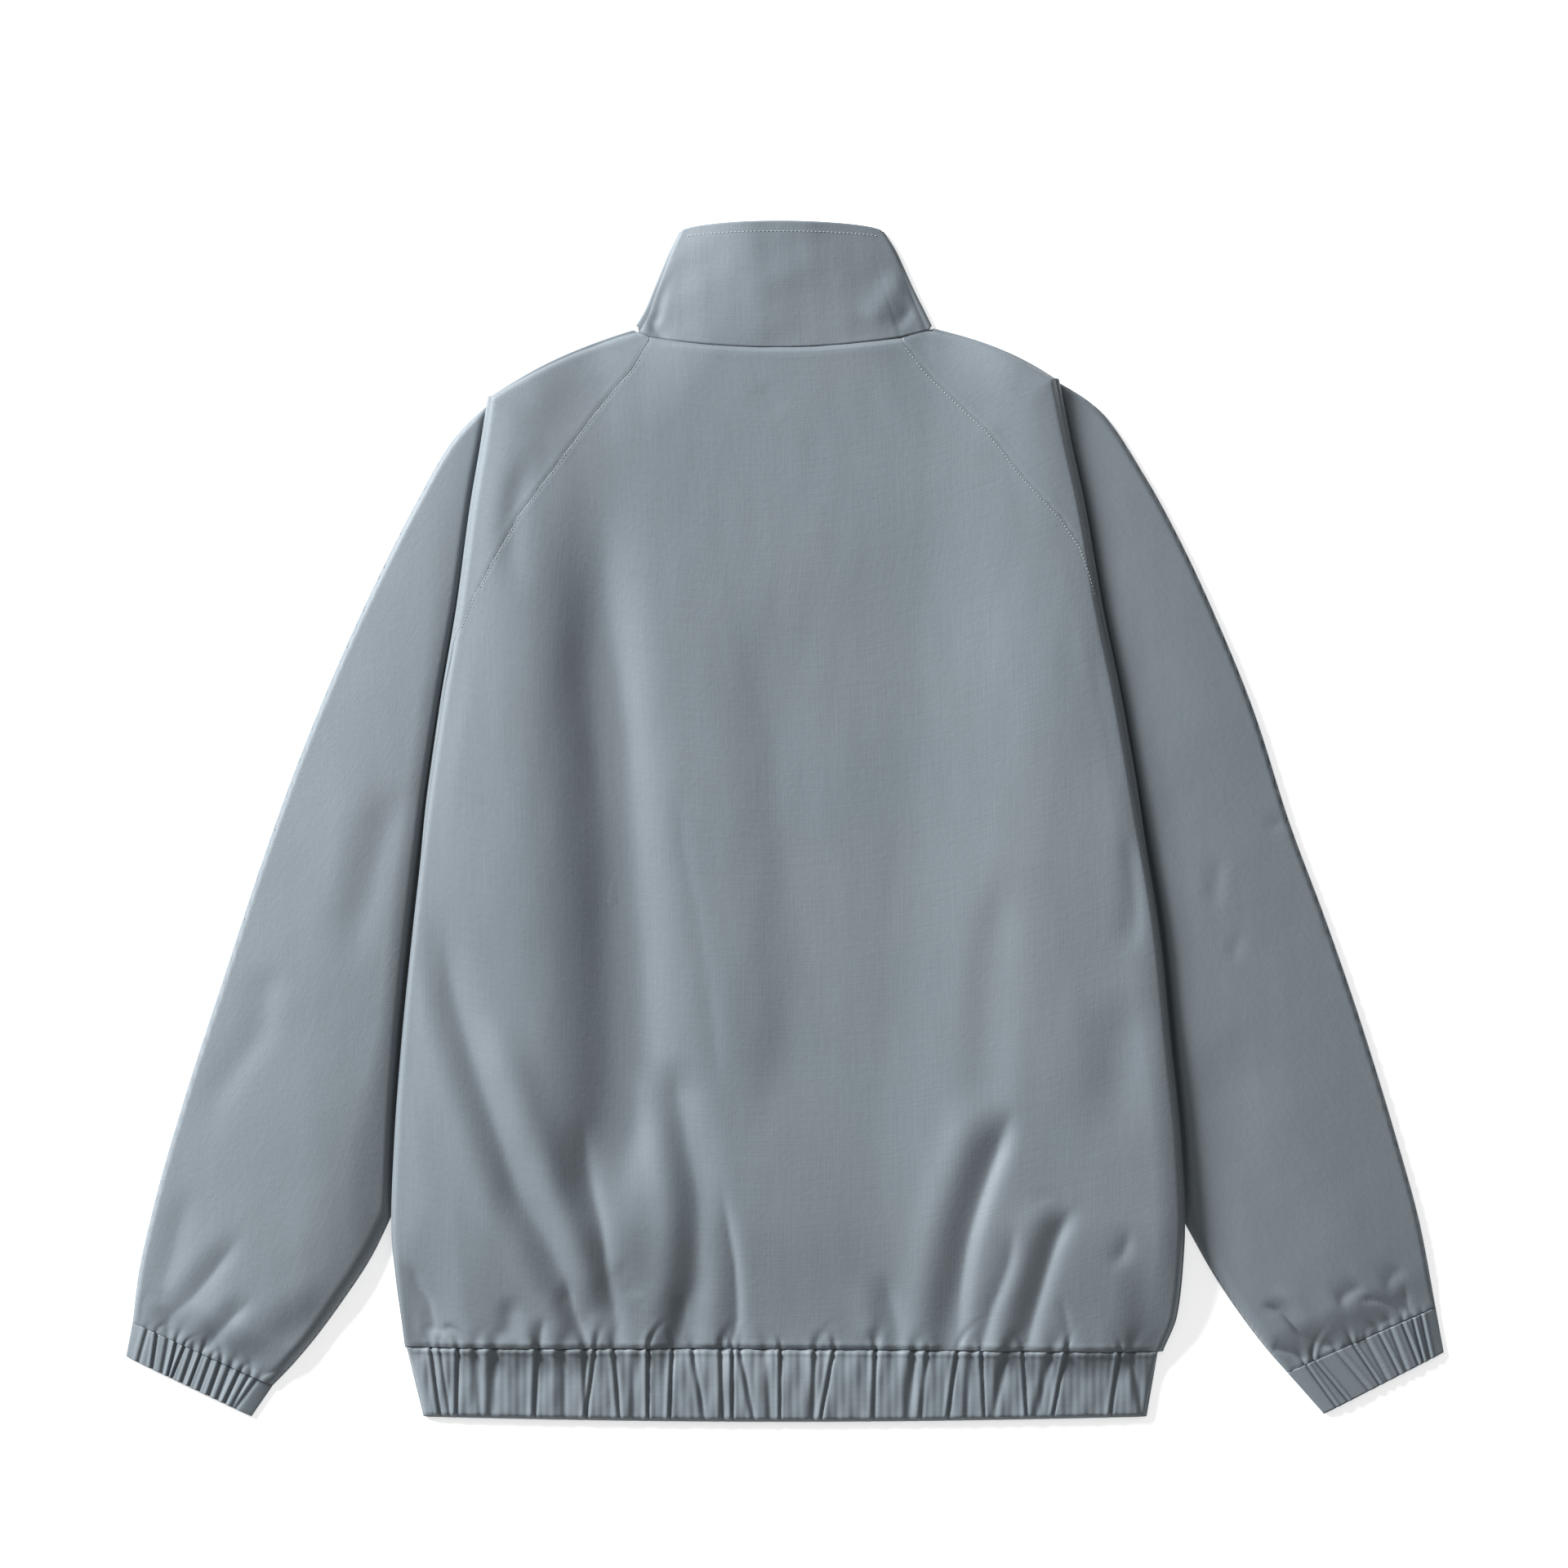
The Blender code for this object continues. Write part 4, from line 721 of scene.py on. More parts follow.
# ---------------------------------------------------------------- cloth walls
def grid_tangent(points: Array, axis: int, ring: bool) -> Array:
    """Direction along one axis of a grid: that of the circle through each point and its two neighbours.

    Args:
        points: (rows, columns, 3) grid.
        axis: 0 along the rows' order, 1 along the columns'.
        ring: Whether the axis closes on itself.

    Returns:
        Unit vectors of the grid's shape.
    """
    along = np.moveaxis(points, axis, 0)
    step = np.roll(along, -1, 0) - along
    length = np.linalg.norm(step, axis=-1, keepdims=True)
    ahead = unit(step)
    made = unit(ahead * np.roll(length, 1, 0) + np.roll(ahead, 1, 0) * length)
    if not ring:
        first = length[0] / (length[0] + length[1])
        last = length[-2] / (length[-2] + length[-3])
        made[0] = unit(ahead[0] + (ahead[0] - ahead[1]) * first)
        made[-1] = unit(ahead[-2] + (ahead[-2] - ahead[-3]) * last)
    return np.moveaxis(made, 0, axis)


def quad_corners(rows: int, columns: int, ring: bool) -> tuple[Array, Array]:
    """Corners of a grid's quads.

    Args:
        rows, columns: Points each way.
        ring: Whether the last column joins the first.

    Returns:
        Row and column numbers, each (quads, 4); on a ring the last column's following number is columns.
    """
    across = columns if ring else columns - 1
    i, j = np.meshgrid(np.arange(rows - 1), np.arange(across), indexing="ij")
    i, j = i.ravel(), j.ravel()
    return np.stack([i, i, i + 1, i + 1], -1), np.stack([j, j + 1, j + 1, j], -1)


def mesh_from(name: str, points: Array, faces: list[Array], uv: Array | None = None) -> bpy.types.Object:
    """A mesh object from arrays.

    Args:
        name: The piece's name.
        points: (n, 3) in mm.
        faces: Arrays of (k, corners) vertex numbers, each with its own number of corners.
        uv: (loops, 2) in metres, in the order of the faces.

    Returns:
        The linked object, smooth shaded, at the origin.
    """
    mesh = bpy.data.meshes.new(name)
    loops = np.concatenate([part.ravel() for part in faces])
    totals = np.concatenate([np.full(len(part), part.shape[1]) for part in faces])
    mesh.vertices.add(len(points))
    mesh.vertices.foreach_set("co", (np.asarray(points, np.float32) * MM).ravel())
    mesh.loops.add(len(loops))
    mesh.loops.foreach_set("vertex_index", loops.astype(np.int32))
    mesh.polygons.add(len(totals))
    mesh.polygons.foreach_set("loop_start", (np.cumsum(totals) - totals).astype(np.int32))
    if uv is not None:
        layer = mesh.uv_layers.new(name="grain")
        layer.data.foreach_set("uv", np.asarray(uv, np.float32).ravel())
    mesh.update(calc_edges=True)
    mesh.shade_smooth()
    made = bpy.data.objects.new(name, mesh)
    bpy.context.scene.collection.objects.link(made)
    return made


@dataclass(frozen=True)
class ClothWall:
    """An even wall about a grid of middle points, its inner face at half the outer face's fineness.

    Attributes:
        name: The piece's name.
        thickness: The wall's thickness in mm.
        ring: Whether the grid's columns close into a tube.
        facing: One where the outer face mostly looks up, minus one where it looks down.
    """

    name: str
    thickness: float = 0.6
    ring: bool = False
    facing: float = 1.0

    def normals(self, middle: Array) -> Array:
        """Unit normals of the grid: across times down."""
        return unit(np.cross(grid_tangent(middle, 1, self.ring), grid_tangent(middle, 0, False)))

    def build(self, middle: Array) -> bpy.types.Object:
        """Makes the closed wall.

        Args:
            middle: (rows, columns, 3) middle points in mm, with odd rows, and columns odd or, on a ring, even.

        Returns:
            The mesh object, with the UV map grain in metres along the cloth.
        """
        rows, columns = middle.shape[:2]
        normal = self.normals(middle)
        if normal[..., 2].mean() * self.facing < 0:
            middle = middle[:, ::-1]
            normal = self.normals(middle)
        outer = middle + normal * self.thickness / 2
        inner = (middle - normal * self.thickness / 2)[::2, ::2]
        few_rows, few_columns = inner.shape[:2]
        fine = np.arange(rows * columns).reshape(rows, columns)
        coarse = np.arange(few_rows * few_columns).reshape(few_rows, few_columns) + rows * columns
        i, j = quad_corners(rows, columns, self.ring)
        upper = fine[i, j % columns]
        m, n = quad_corners(few_rows, few_columns, self.ring)
        lower = coarse[m, n % few_columns]
        u, v = self.grain(middle)
        upper_uv = np.stack([u[i, j], v[i, j % columns]], -1).reshape(-1, 2)
        lower_uv = np.stack([u[2 * m, 2 * n], v[2 * m, (2 * n) % columns]], -1)[:, [0, 3, 2, 1]].reshape(-1, 2)
        rims, rims_uv = self.rims(fine, coarse, u, v)
        faces = [upper, lower[:, [0, 3, 2, 1]], rims]
        points = np.concatenate([outer.reshape(-1, 3), inner.reshape(-1, 3)])
        return mesh_from(self.name, points, faces, np.concatenate([upper_uv, lower_uv, rims_uv]) * MM)

    def grain(self, middle: Array) -> tuple[Array, Array]:
        """Lengths along the cloth: (rows, columns + 1) across and (rows, columns) down, in mm."""
        following = np.roll(middle, -1, 1)
        across = np.linalg.norm(following - middle, axis=-1)
        u = np.concatenate([np.zeros((len(middle), 1)), np.cumsum(across, 1)], 1)
        u -= u[:, [middle.shape[1] // 2]]
        down = np.linalg.norm(np.diff(middle, axis=0), axis=-1)
        v = np.concatenate([np.zeros((1, middle.shape[1])), np.cumsum(down, 0)], 0)
        return u, v

    def rims(self, fine: Array, coarse: Array, u: Array, v: Array) -> tuple[Array, Array]:
        """Triangles that join the fine outer face's borders to the coarse inner face's.

        Args:
            fine: Vertex numbers of the outer grid.
            coarse: Vertex numbers of the inner grid.
            u, v: Lengths along the cloth in mm.

        Returns:
            (triangles, 3) vertex numbers and (3 triangles, 2) their UVs in mm.
        """
        rows, columns = fine.shape
        i, j = np.arange(rows), np.arange(columns)
        if self.ring:
            j = np.append(j, columns)
            routes = [(0 * j, j), (0 * j + rows - 1, j[::-1])]
        else:
            routes = [(0 * j, j), (i, 0 * i + columns - 1), (0 * j + rows - 1, j[::-1]), (i[::-1], 0 * i)]
        faces, places = [], []
        for row, column in routes:
            a = (row[:-2:2], column[:-2:2])
            b = (row[1:-1:2], column[1:-1:2])
            c = (row[2::2], column[2::2])
            out = [fine[r, k % columns] for r, k in (a, b, c)]
            few = [coarse[r // 2, (k // 2) % coarse.shape[1]] for r, k in (a, c)]
            uv = [np.stack([u[r, k], v[r, k % columns]], -1) for r, k in (a, b, c)]
            for corners, spots in (
                ((out[1], out[0], few[0]), (uv[1], uv[0], uv[0])),
                ((out[1], few[0], few[1]), (uv[1], uv[0], uv[2])),
                ((out[2], out[1], few[1]), (uv[2], uv[1], uv[2])),
            ):
                faces.append(np.stack(corners, -1))
                places.append(np.stack(spots, 1).reshape(-1, 2))
        return np.concatenate(faces), np.concatenate(places)


# ---------------------------------------------------------------- finishes
class NodeTree:
    """Adds nodes to one new material and joins them."""

    def __init__(self, name: str) -> None:
        """Makes the material with an empty Principled shader."""
        self.material = bpy.data.materials.new(name)
        self.material.use_nodes = True
        self.tree = self.material.node_tree
        self.shader = self.tree.nodes["Principled BSDF"]

    def add(self, kind: str, inputs: dict | None = None, **settings: object) -> bpy.types.Node:
        """Adds a node.

        Args:
            kind: The node's type.
            inputs: Values or sockets for its inputs, by name or number.
            **settings: Its own settings.

        Returns:
            The node.
        """
        node = self.tree.nodes.new(kind)
        for name, value in settings.items():
            setattr(node, name, value)
        for name, value in (inputs or {}).items():
            self.set(node, name, value)
        return node

    def set(self, node: bpy.types.Node, name: str | int, value: object) -> None:
        """Sets an input to a value, or joins a socket to it."""
        if isinstance(value, bpy.types.NodeSocket):
            self.tree.links.new(value, node.inputs[name])
        else:
            node.inputs[name].default_value = value

    def math(self, operation: str, first: object, second: object = 0.0, third: object = 0.0) -> object:
        """Output of a Math node."""
        return self.add("ShaderNodeMath", {0: first, 1: second, 2: third}, operation=operation).outputs[0]

    def noise(self, vector: object, scale: float, detail: float) -> object:
        """Output of a Noise texture, about 0.5."""
        settings = {"Vector": vector, "Scale": scale, "Detail": detail, "Roughness": 0.5}
        return self.add("ShaderNodeTexNoise", settings).outputs["Fac"]

    def grain(self) -> object:
        """The UV map that follows the cloth, in metres."""
        return self.add("ShaderNodeUVMap", uv_map="grain").outputs["UV"]

    def stretched(self, vector: object, scale: tuple) -> object:
        """The vector multiplied along each axis."""
        return self.add("ShaderNodeMapping", {"Vector": vector, "Scale": scale}).outputs["Vector"]

    def mix(self, share: object, first: object, second: object) -> object:
        """Colour between two colours."""
        node = self.add("ShaderNodeMix", data_type="RGBA")
        for name, value in (("Factor_Float", share), ("A_Color", first), ("B_Color", second)):
            socket = next(s for s in node.inputs if s.identifier == name)
            if isinstance(value, bpy.types.NodeSocket):
                self.tree.links.new(value, socket)
            else:
                socket.default_value = value
        return next(s for s in node.outputs if s.identifier == "Result_Color")

    def raised(self, heights: list[tuple[object, float]]) -> None:
        """Bumps one over the other: each is a height from 0 to 1 and its real depth in metres."""
        normal = None
        for height, depth in heights:
            inputs = {"Height": height, "Distance": depth, "Strength": 1.0}
            if normal is not None:
                inputs["Normal"] = normal
            normal = self.add("ShaderNodeBump", inputs).outputs["Normal"]
        self.set(self.shader, "Normal", normal)


def rgba(colour: Colour, factor: float = 1.0) -> tuple[float, float, float, float]:
    """A colour scaled by a factor, with full alpha."""
    return (*(part * factor for part in colour), 1.0)


@dataclass(frozen=True)
class WovenCloth:
    """Light plain-woven cloth with a slight satin sheen and uneven yarns.

    Attributes:
        name: The material's name.
        cool, warm: The two tints that it wavers between.
        pitch: Distance between yarns in metres.
        roughness, sheen, gloss: Shader values.
    """

    name: str = "woven_cloth"
    cool: Colour = (0.128, 0.152, 0.171)
    warm: Colour = (0.132, 0.1535, 0.1715)
    pitch: float = 0.00042
    roughness: float = 0.56
    sheen: float = 0.12
    gloss: float = 0.3

    def material(self) -> bpy.types.Material:
        """The node material."""
        sheet = NodeTree(self.name)
        grain = sheet.grain()
        parts = sheet.add("ShaderNodeSeparateXYZ", {0: grain})
        waves = [
            sheet.math("SINE", sheet.math("MULTIPLY", parts.outputs[axis], math.pi / self.pitch)) for axis in (0, 1)
        ]
        weave = sheet.math("MULTIPLY_ADD", sheet.math("MULTIPLY", *waves), 0.5, 0.5)
        warp = sheet.noise(sheet.stretched(grain, (900.0, 22.0, 1.0)), 1.0, 2.0)
        weft = sheet.noise(sheet.stretched(grain, (26.0, 1000.0, 1.0)), 1.0, 2.0)
        yarns = sheet.math("ADD", warp, weft)
        place = sheet.add("ShaderNodeTexCoord").outputs["Object"]
        broad = sheet.noise(place, 9.0, 2.0)
        tint = sheet.mix(sheet.math("MULTIPLY_ADD", broad, 3.0, -1.0), rgba(self.cool), rgba(self.warm))
        shade = sheet.math("MULTIPLY_ADD", yarns, 0.16, 0.84)
        value = sheet.add("ShaderNodeHueSaturation", {"Color": tint, "Value": shade})
        sheet.set(sheet.shader, "Base Color", value.outputs["Color"])
        fine = sheet.noise(place, 260.0, 3.0)
        sheet.raised([(fine, 0.00012), (yarns, 0.00006), (weave, 0.00003)])
        sheet.set(sheet.shader, "Roughness", self.roughness)
        sheet.set(sheet.shader, "Sheen Weight", self.sheen)
        sheet.set(sheet.shader, "Sheen Roughness", 0.4)
        sheet.set(sheet.shader, "Specular IOR Level", self.gloss)
        return sheet.material


@dataclass(frozen=True)
class SewingThread:
    """Twisted sewing thread, paler than the cloth, with slanted plies."""

    name: str = "pale_thread"
    colour: Colour = (0.33, 0.37, 0.39)
    roughness: float = 0.5

    def material(self) -> bpy.types.Material:
        """The node material."""
        sheet = NodeTree(self.name)
        place = sheet.add("ShaderNodeTexCoord").outputs["Object"]
        plies = sheet.add("ShaderNodeTexWave", {"Vector": place, "Scale": 900.0, "Distortion": 1.5})
        plies.bands_direction = "DIAGONAL"
        tone = sheet.noise(place, 400.0, 2.0)
        colour = sheet.mix(tone, rgba(self.colour, 0.86), rgba(self.colour, 1.12))
        sheet.set(sheet.shader, "Base Color", colour)
        sheet.set(sheet.shader, "Roughness", self.roughness)
        sheet.set(sheet.shader, "Sheen Weight", 0.2)
        sheet.raised([(plies.outputs["Fac"], 0.00005)])
        return sheet.material


@dataclass(frozen=True)
class ZipTape:
    """Dense herringbone tape in the cloth's colour, darker."""

    name: str = "zip_tape"
    colour: Colour = (0.13, 0.15, 0.165)
    roughness: float = 0.75

    def material(self) -> bpy.types.Material:
        """The node material."""
        sheet = NodeTree(self.name)
        place = sheet.add("ShaderNodeTexCoord").outputs["Object"]
        ribs = sheet.add("ShaderNodeTexWave", {"Vector": place, "Scale": 420.0, "Distortion": 0.4})
        ribs.bands_direction = "X"
        tone = sheet.noise(place, 300.0, 2.0)
        sheet.set(sheet.shader, "Base Color", sheet.mix(tone, rgba(self.colour, 0.85), rgba(self.colour, 1.15)))
        sheet.set(sheet.shader, "Roughness", self.roughness)
        sheet.set(sheet.shader, "Sheen Weight", 0.15)
        sheet.raised([(ribs.outputs["Fac"], 0.00008), (tone, 0.00005)])
        return sheet.material


@dataclass(frozen=True)
class MouldedPlastic:
    """Moulded plastic of the zip's teeth: smooth, with faint flow marks."""

    name: str = "zip_teeth"
    colour: Colour = (0.085, 0.095, 0.105)
    roughness: float = 0.38

    def material(self) -> bpy.types.Material:
        """The node material."""
        sheet = NodeTree(self.name)
        place = sheet.add("ShaderNodeTexCoord").outputs["Object"]
        flow = sheet.noise(place, 350.0, 2.0)
        sheet.set(sheet.shader, "Base Color", sheet.mix(flow, rgba(self.colour, 0.9), rgba(self.colour, 1.15)))
        rough = sheet.math("MULTIPLY_ADD", flow, 0.14, self.roughness - 0.07)
        sheet.set(sheet.shader, "Roughness", rough)
        sheet.raised([(flow, 0.00002)])
        return sheet.material


@dataclass(frozen=True)
class SatinMetal:
    """Die-cast metal of the slider: satin, worn brighter in places."""

    name: str = "slider_metal"
    colour: Colour = (0.36, 0.37, 0.38)
    roughness: float = 0.34

    def material(self) -> bpy.types.Material:
        """The node material."""
        sheet = NodeTree(self.name)
        place = sheet.add("ShaderNodeTexCoord").outputs["Object"]
        wear = sheet.noise(place, 500.0, 3.0)
        sheet.set(sheet.shader, "Base Color", sheet.mix(wear, rgba(self.colour, 0.8), rgba(self.colour, 1.25)))
        sheet.set(sheet.shader, "Metallic", 1.0)
        sheet.set(sheet.shader, "Roughness", sheet.math("MULTIPLY_ADD", wear, 0.2, self.roughness - 0.1))
        sheet.raised([(wear, 0.00001)])
        return sheet.material


@dataclass(frozen=True)
class PaleFloor:
    """Plain matt floor, lit from beneath as a light table is, which keeps its shadows faint."""

    name: str = "pale_floor"
    colour: Colour = (0.94, 0.94, 0.94)
    glow: float = 0.5

    def material(self) -> bpy.types.Material:
        """The material."""
        sheet = NodeTree(self.name)
        sheet.set(sheet.shader, "Base Color", rgba(self.colour))
        sheet.set(sheet.shader, "Roughness", 0.9)
        sheet.set(sheet.shader, "Specular IOR Level", 0.1)
        sheet.set(sheet.shader, "Emission Color", rgba((1.0, 1.0, 1.0)))
        sheet.set(sheet.shader, "Emission Strength", self.glow)
        return sheet.material


@dataclass(frozen=True)
class Finishes:
    """The materials of one jacket."""

    cloth: bpy.types.Material
    thread: bpy.types.Material
    tape: bpy.types.Material
    teeth: bpy.types.Material
    metal: bpy.types.Material


def dress(piece: bpy.types.Object, finish: bpy.types.Material, node: str | None = None) -> None:
    """Gives a piece its material and body, and hides the solid that it stands for.

    Args:
        piece: The finished object.
        finish: Its material.
        node: The solid that it replaces, if any.
    """
    piece.data.materials.append(finish)
    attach(piece, BODY)
    if node is not None:
        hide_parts(node)
    LOG.info("%s: %d vertices, %d faces", piece.name, len(piece.data.vertices), len(piece.data.polygons))


# ---------------------------------------------------------------- stitching
@dataclass(frozen=True)
class StitchRow:
    """A row of short raised stitches along a line on the cloth.

    Attributes:
        name: The piece's name.
        pitch: Distance from stitch to stitch in mm.
        length: A stitch's length as a share of the pitch.
        radius: The thread's radius in mm.
        slant: How far each stitch turns from the line, in radians.
        sides: Sides of the thread.
    """

    name: str
    pitch: float = 2.6
    length: float = 0.72
    radius: float = 0.22
    slant: float = 0.0
    sides: int = 6

    def build(self, lines: list[tuple[Array, Array]]) -> bpy.types.Object:
        """Makes every stitch of the row in one mesh.

        Args:
            lines: Pairs of (n, 3) points on the cloth's surface in mm and (n, 3) unit normals there.

        Returns:
            The mesh object: for each stitch a capsule that bows up from the cloth and dips in at its ends.
        """
        centres, forwards, ups = [], [], []
        for points, normals in lines:
            far = np.concatenate([[0.0], np.cumsum(np.linalg.norm(np.diff(points, axis=0), axis=1))])
            count = max(int(far[-1] / self.pitch), 2)
            at = (np.arange(count) + 0.5) * far[-1] / count
            ends = [np.stack([np.interp(at + reach, far, points[:, k]) for k in range(3)], -1) for reach in (-0.4, 0.4)]
            up = unit(np.stack([np.interp(at, far, normals[:, k]) for k in range(3)], -1))
            forward = unit(ends[1] - ends[0])
            aside = unit(np.cross(up, forward))
            forward = forward * math.cos(self.slant) + aside * math.sin(self.slant)
            centres.append((ends[0] + ends[1]) / 2)
            forwards.append(forward)
            ups.append(up)
        centre, forward, up = (np.concatenate(part)[:, None] for part in (centres, forwards, ups))
        aside = np.cross(up, forward)
        along = np.array([-1.0, -0.86, -0.45, 0.0, 0.45, 0.86, 1.0])
        radius = self.radius * np.array([0.0, 0.62, 0.95, 1.0, 0.95, 0.62, 0.0])
        lift = self.radius * (1.0 - 1.5 * along**2)
        turn = np.arange(self.sides) * 2 * math.pi / self.sides
        reach = self.pitch * self.length / 2
        rings = len(along) - 2
        t, r, h = (np.repeat(part[1:-1], self.sides) for part in (along, radius, lift))
        c, s = np.tile(np.cos(turn), rings), np.tile(np.sin(turn), rings)
        t, r, h = (np.concatenate([[a], b, [z]]) for a, b, z in ((-1.0, t, 1.0), (0.0, r, 0.0), (lift[0], h, lift[-1])))
        c, s = np.concatenate([[0.0], c, [0.0]]), np.concatenate([[0.0], s, [0.0]])
        offsets = forward * (t * reach)[:, None] + aside * (r * c)[:, None] + up * (h + 0.8 * r * s)[:, None]
        points = (centre + offsets).reshape(-1, 3)
        each = len(t)
        start = (np.arange(len(centre)) * each)[:, None, None]
        k = np.arange(self.sides)
        following = (k + 1) % self.sides
        first = np.stack([0 * k, 1 + following, 1 + k], -1)
        base = 1 + (rings - 1) * self.sides
        last = np.stack([0 * k + each - 1, base + k, base + following], -1)
        ring = np.arange(rings - 1)[:, None] * self.sides + 1
        quads = np.stack([ring + k, ring + following, ring + self.sides + following, ring + self.sides + k], -1)
        triangles = np.concatenate([first, last])[None] + start
        sides = quads.reshape(-1, 4)[None] + start
        return mesh_from(self.name, points, [triangles.reshape(-1, 3), sides.reshape(-1, 4)])


# ---------------------------------------------------------------- body panels
@dataclass(frozen=True)
class SeamRows:
    """Rows of a body panel: along the raglan seam, then down the side to the hem.

    Attributes:
        first_share: Share of the seam at the neck corner.
        seam_rows: Rows along the seam.
        side_rows: Rows below the underarm, hem_rows of them close to the hem.
        hem_rows: Rows in the last hem_zone mm.
        hem_zone: Height of the close rows in mm.
        turned: Columns that round the side edge.
        crowding: Distance between columns where the seam cuts them off, in mm.
    """

    first_share: float = 0.0504
    seam_rows: int = 111
    side_rows: int = 84
    hem_rows: int = 34
    hem_zone: float = 40.0
    turned: int = 8
    crowding: float = 0.05

    def heights(self, side: Side) -> tuple[Array, Array, Array]:
        """Rows of one side.

        Args:
            side: Which side.

        Returns:
            Shares of the seam (one below it), distances past the side crease, and heights, in mm.
        """
        share = np.linspace(self.first_share, 1.0, self.seam_rows)
        past, y, _ = LAY.cap_start(side, share)
        hem = (LAY.hem_seam_left if side is Side.LEFT else LAY.hem_seam_right) + LAY.seam_gap / 2
        plain = np.linspace(LAY.underarm_y, hem + self.hem_zone, self.side_rows + 1)[1:]
        close = np.linspace(hem + self.hem_zone, hem, self.hem_rows + 1)[1:]
        below = np.concatenate([plain, close])
        turn = LAY.crease_radius * (math.pi / 2 - LAY.side_seam_turn)
        share = np.concatenate([share, np.ones(len(below))])
        past = np.concatenate([past - LAY.seam_gap / 2, np.full(len(below), turn)])
        return share, past, np.concatenate([y, below])

    def turned_places(self, past: Array) -> Array:
        """Places of the columns round the side edge, crowded where the seam cuts them off, (rows, turned)."""
        turn = np.linspace(0.0, LAY.crease_radius * math.pi / 2, self.turned)
        return np.minimum(turn, past[:, None] - self.crowding * np.arange(self.turned)[::-1])


@dataclass(frozen=True)
class BackPanel:
    """The back, from the neck seam to the hem seam, its sides rounding the laid edges.

    Attributes:
        rows: How its rows are laid out.
        columns: Columns between the side edges, an odd number with the turned ones.
        flat: Width and length of the cut in metres, and its area in square metres; neither is used.
    """

    rows: SeamRows = SeamRows()
    columns: int = 301
    flat: tuple[float, float] = (0.56, 0.71)
    area: float = 0.312

    def middle(self) -> Array:
        """Middle points: straight rows from side to side, lowered along the neck seam, at the back's level."""
        ends = {}
        for side in Side:
            share, past, y = self.rows.heights(side)
            ends[side] = placed(side, LAY.side_end(side, y, self.rows.turned_places(past), 1.0))
        left, right = ends[Side.LEFT][:, ::-1], ends[Side.RIGHT]
        across = spaced(self.columns + 2, 520.0, 0.5, 8)[1:-1]
        start, end = left[:, -1:, :2], right[:, :1, :2]
        plan = start + (end - start) * across[:, None]
        x, y = plan[..., 0], plan[..., 1]
        sag = LAY.neck_sag * np.interp(share, (0.0504, 0.38), (1.0, 0.0))[:, None]
        y = y - sag * (1 - (2 * across - 1) ** 2)
        inside = np.stack([x, y, LAY.back_height(x, y)], -1)
        return np.concatenate([left, inside, right], 1)

    def build(self, finishes: Finishes) -> bpy.types.Object:
        """Makes and dresses the panel."""
        piece = ClothWall("back_panel").build(self.middle())
        dress(piece, finishes.cloth, "back")
        return piece


@dataclass(frozen=True)
class FrontPanel:
    """One front, beneath the back: from the zip to the raglan seam and the side edge.

    Attributes:
        side: Which front.
        rows: How its rows are laid out.
        columns: Columns between the zip and the side edge.
        seam_ease: How much sooner its seam turns at the side edge, in mm.
        flat, area: The cut in metres and square metres; not used.
    """

    side: Side
    rows: SeamRows = SeamRows(seam_rows=81, side_rows=60, hem_rows=16)
    columns: int = 71
    seam_ease: float = 0.35
    flat: tuple[float, float] = (0.28, 0.66)
    area: float = 0.15

    def middle(self) -> Array:
        """Middle points as distance out: rows from the zip outwards, dipping along the front neck seam."""
        share, past, y = self.rows.heights(self.side)
        past = np.where(share < 1.0, past - self.seam_ease, past)
        end = LAY.side_end(self.side, y, self.rows.turned_places(past), -1.0)
        across = np.linspace(0.0, 1.0, self.columns + 1)[:-1]
        out = LAY.zip_half_gap + (end[:, :1, 0] - LAY.zip_half_gap) * across
        corner_out, corner_y = LAY.pick(self.side, LAY.neck_corners)
        dip = corner_y - LAY.front_neck_y(self.side, corner_out * out / end[:, :1, 0])
        level = y[:, None] - dip * np.interp(share, (0.0504, 0.76), (1.0, 0.0))[:, None]
        inside = np.stack([out, level, LAY.front_height(self.side.sign * out, level)], -1)
        return np.concatenate([inside, end], 1)

    def build(self, finishes: Finishes) -> bpy.types.Object:
        """Makes and dresses the panel."""
        middle = placed(self.side, self.middle())
        piece = ClothWall("front_panel_" + self.side.value, facing=-1.0).build(middle)
        dress(piece, finishes.cloth, "front_" + self.side.value)
        return piece


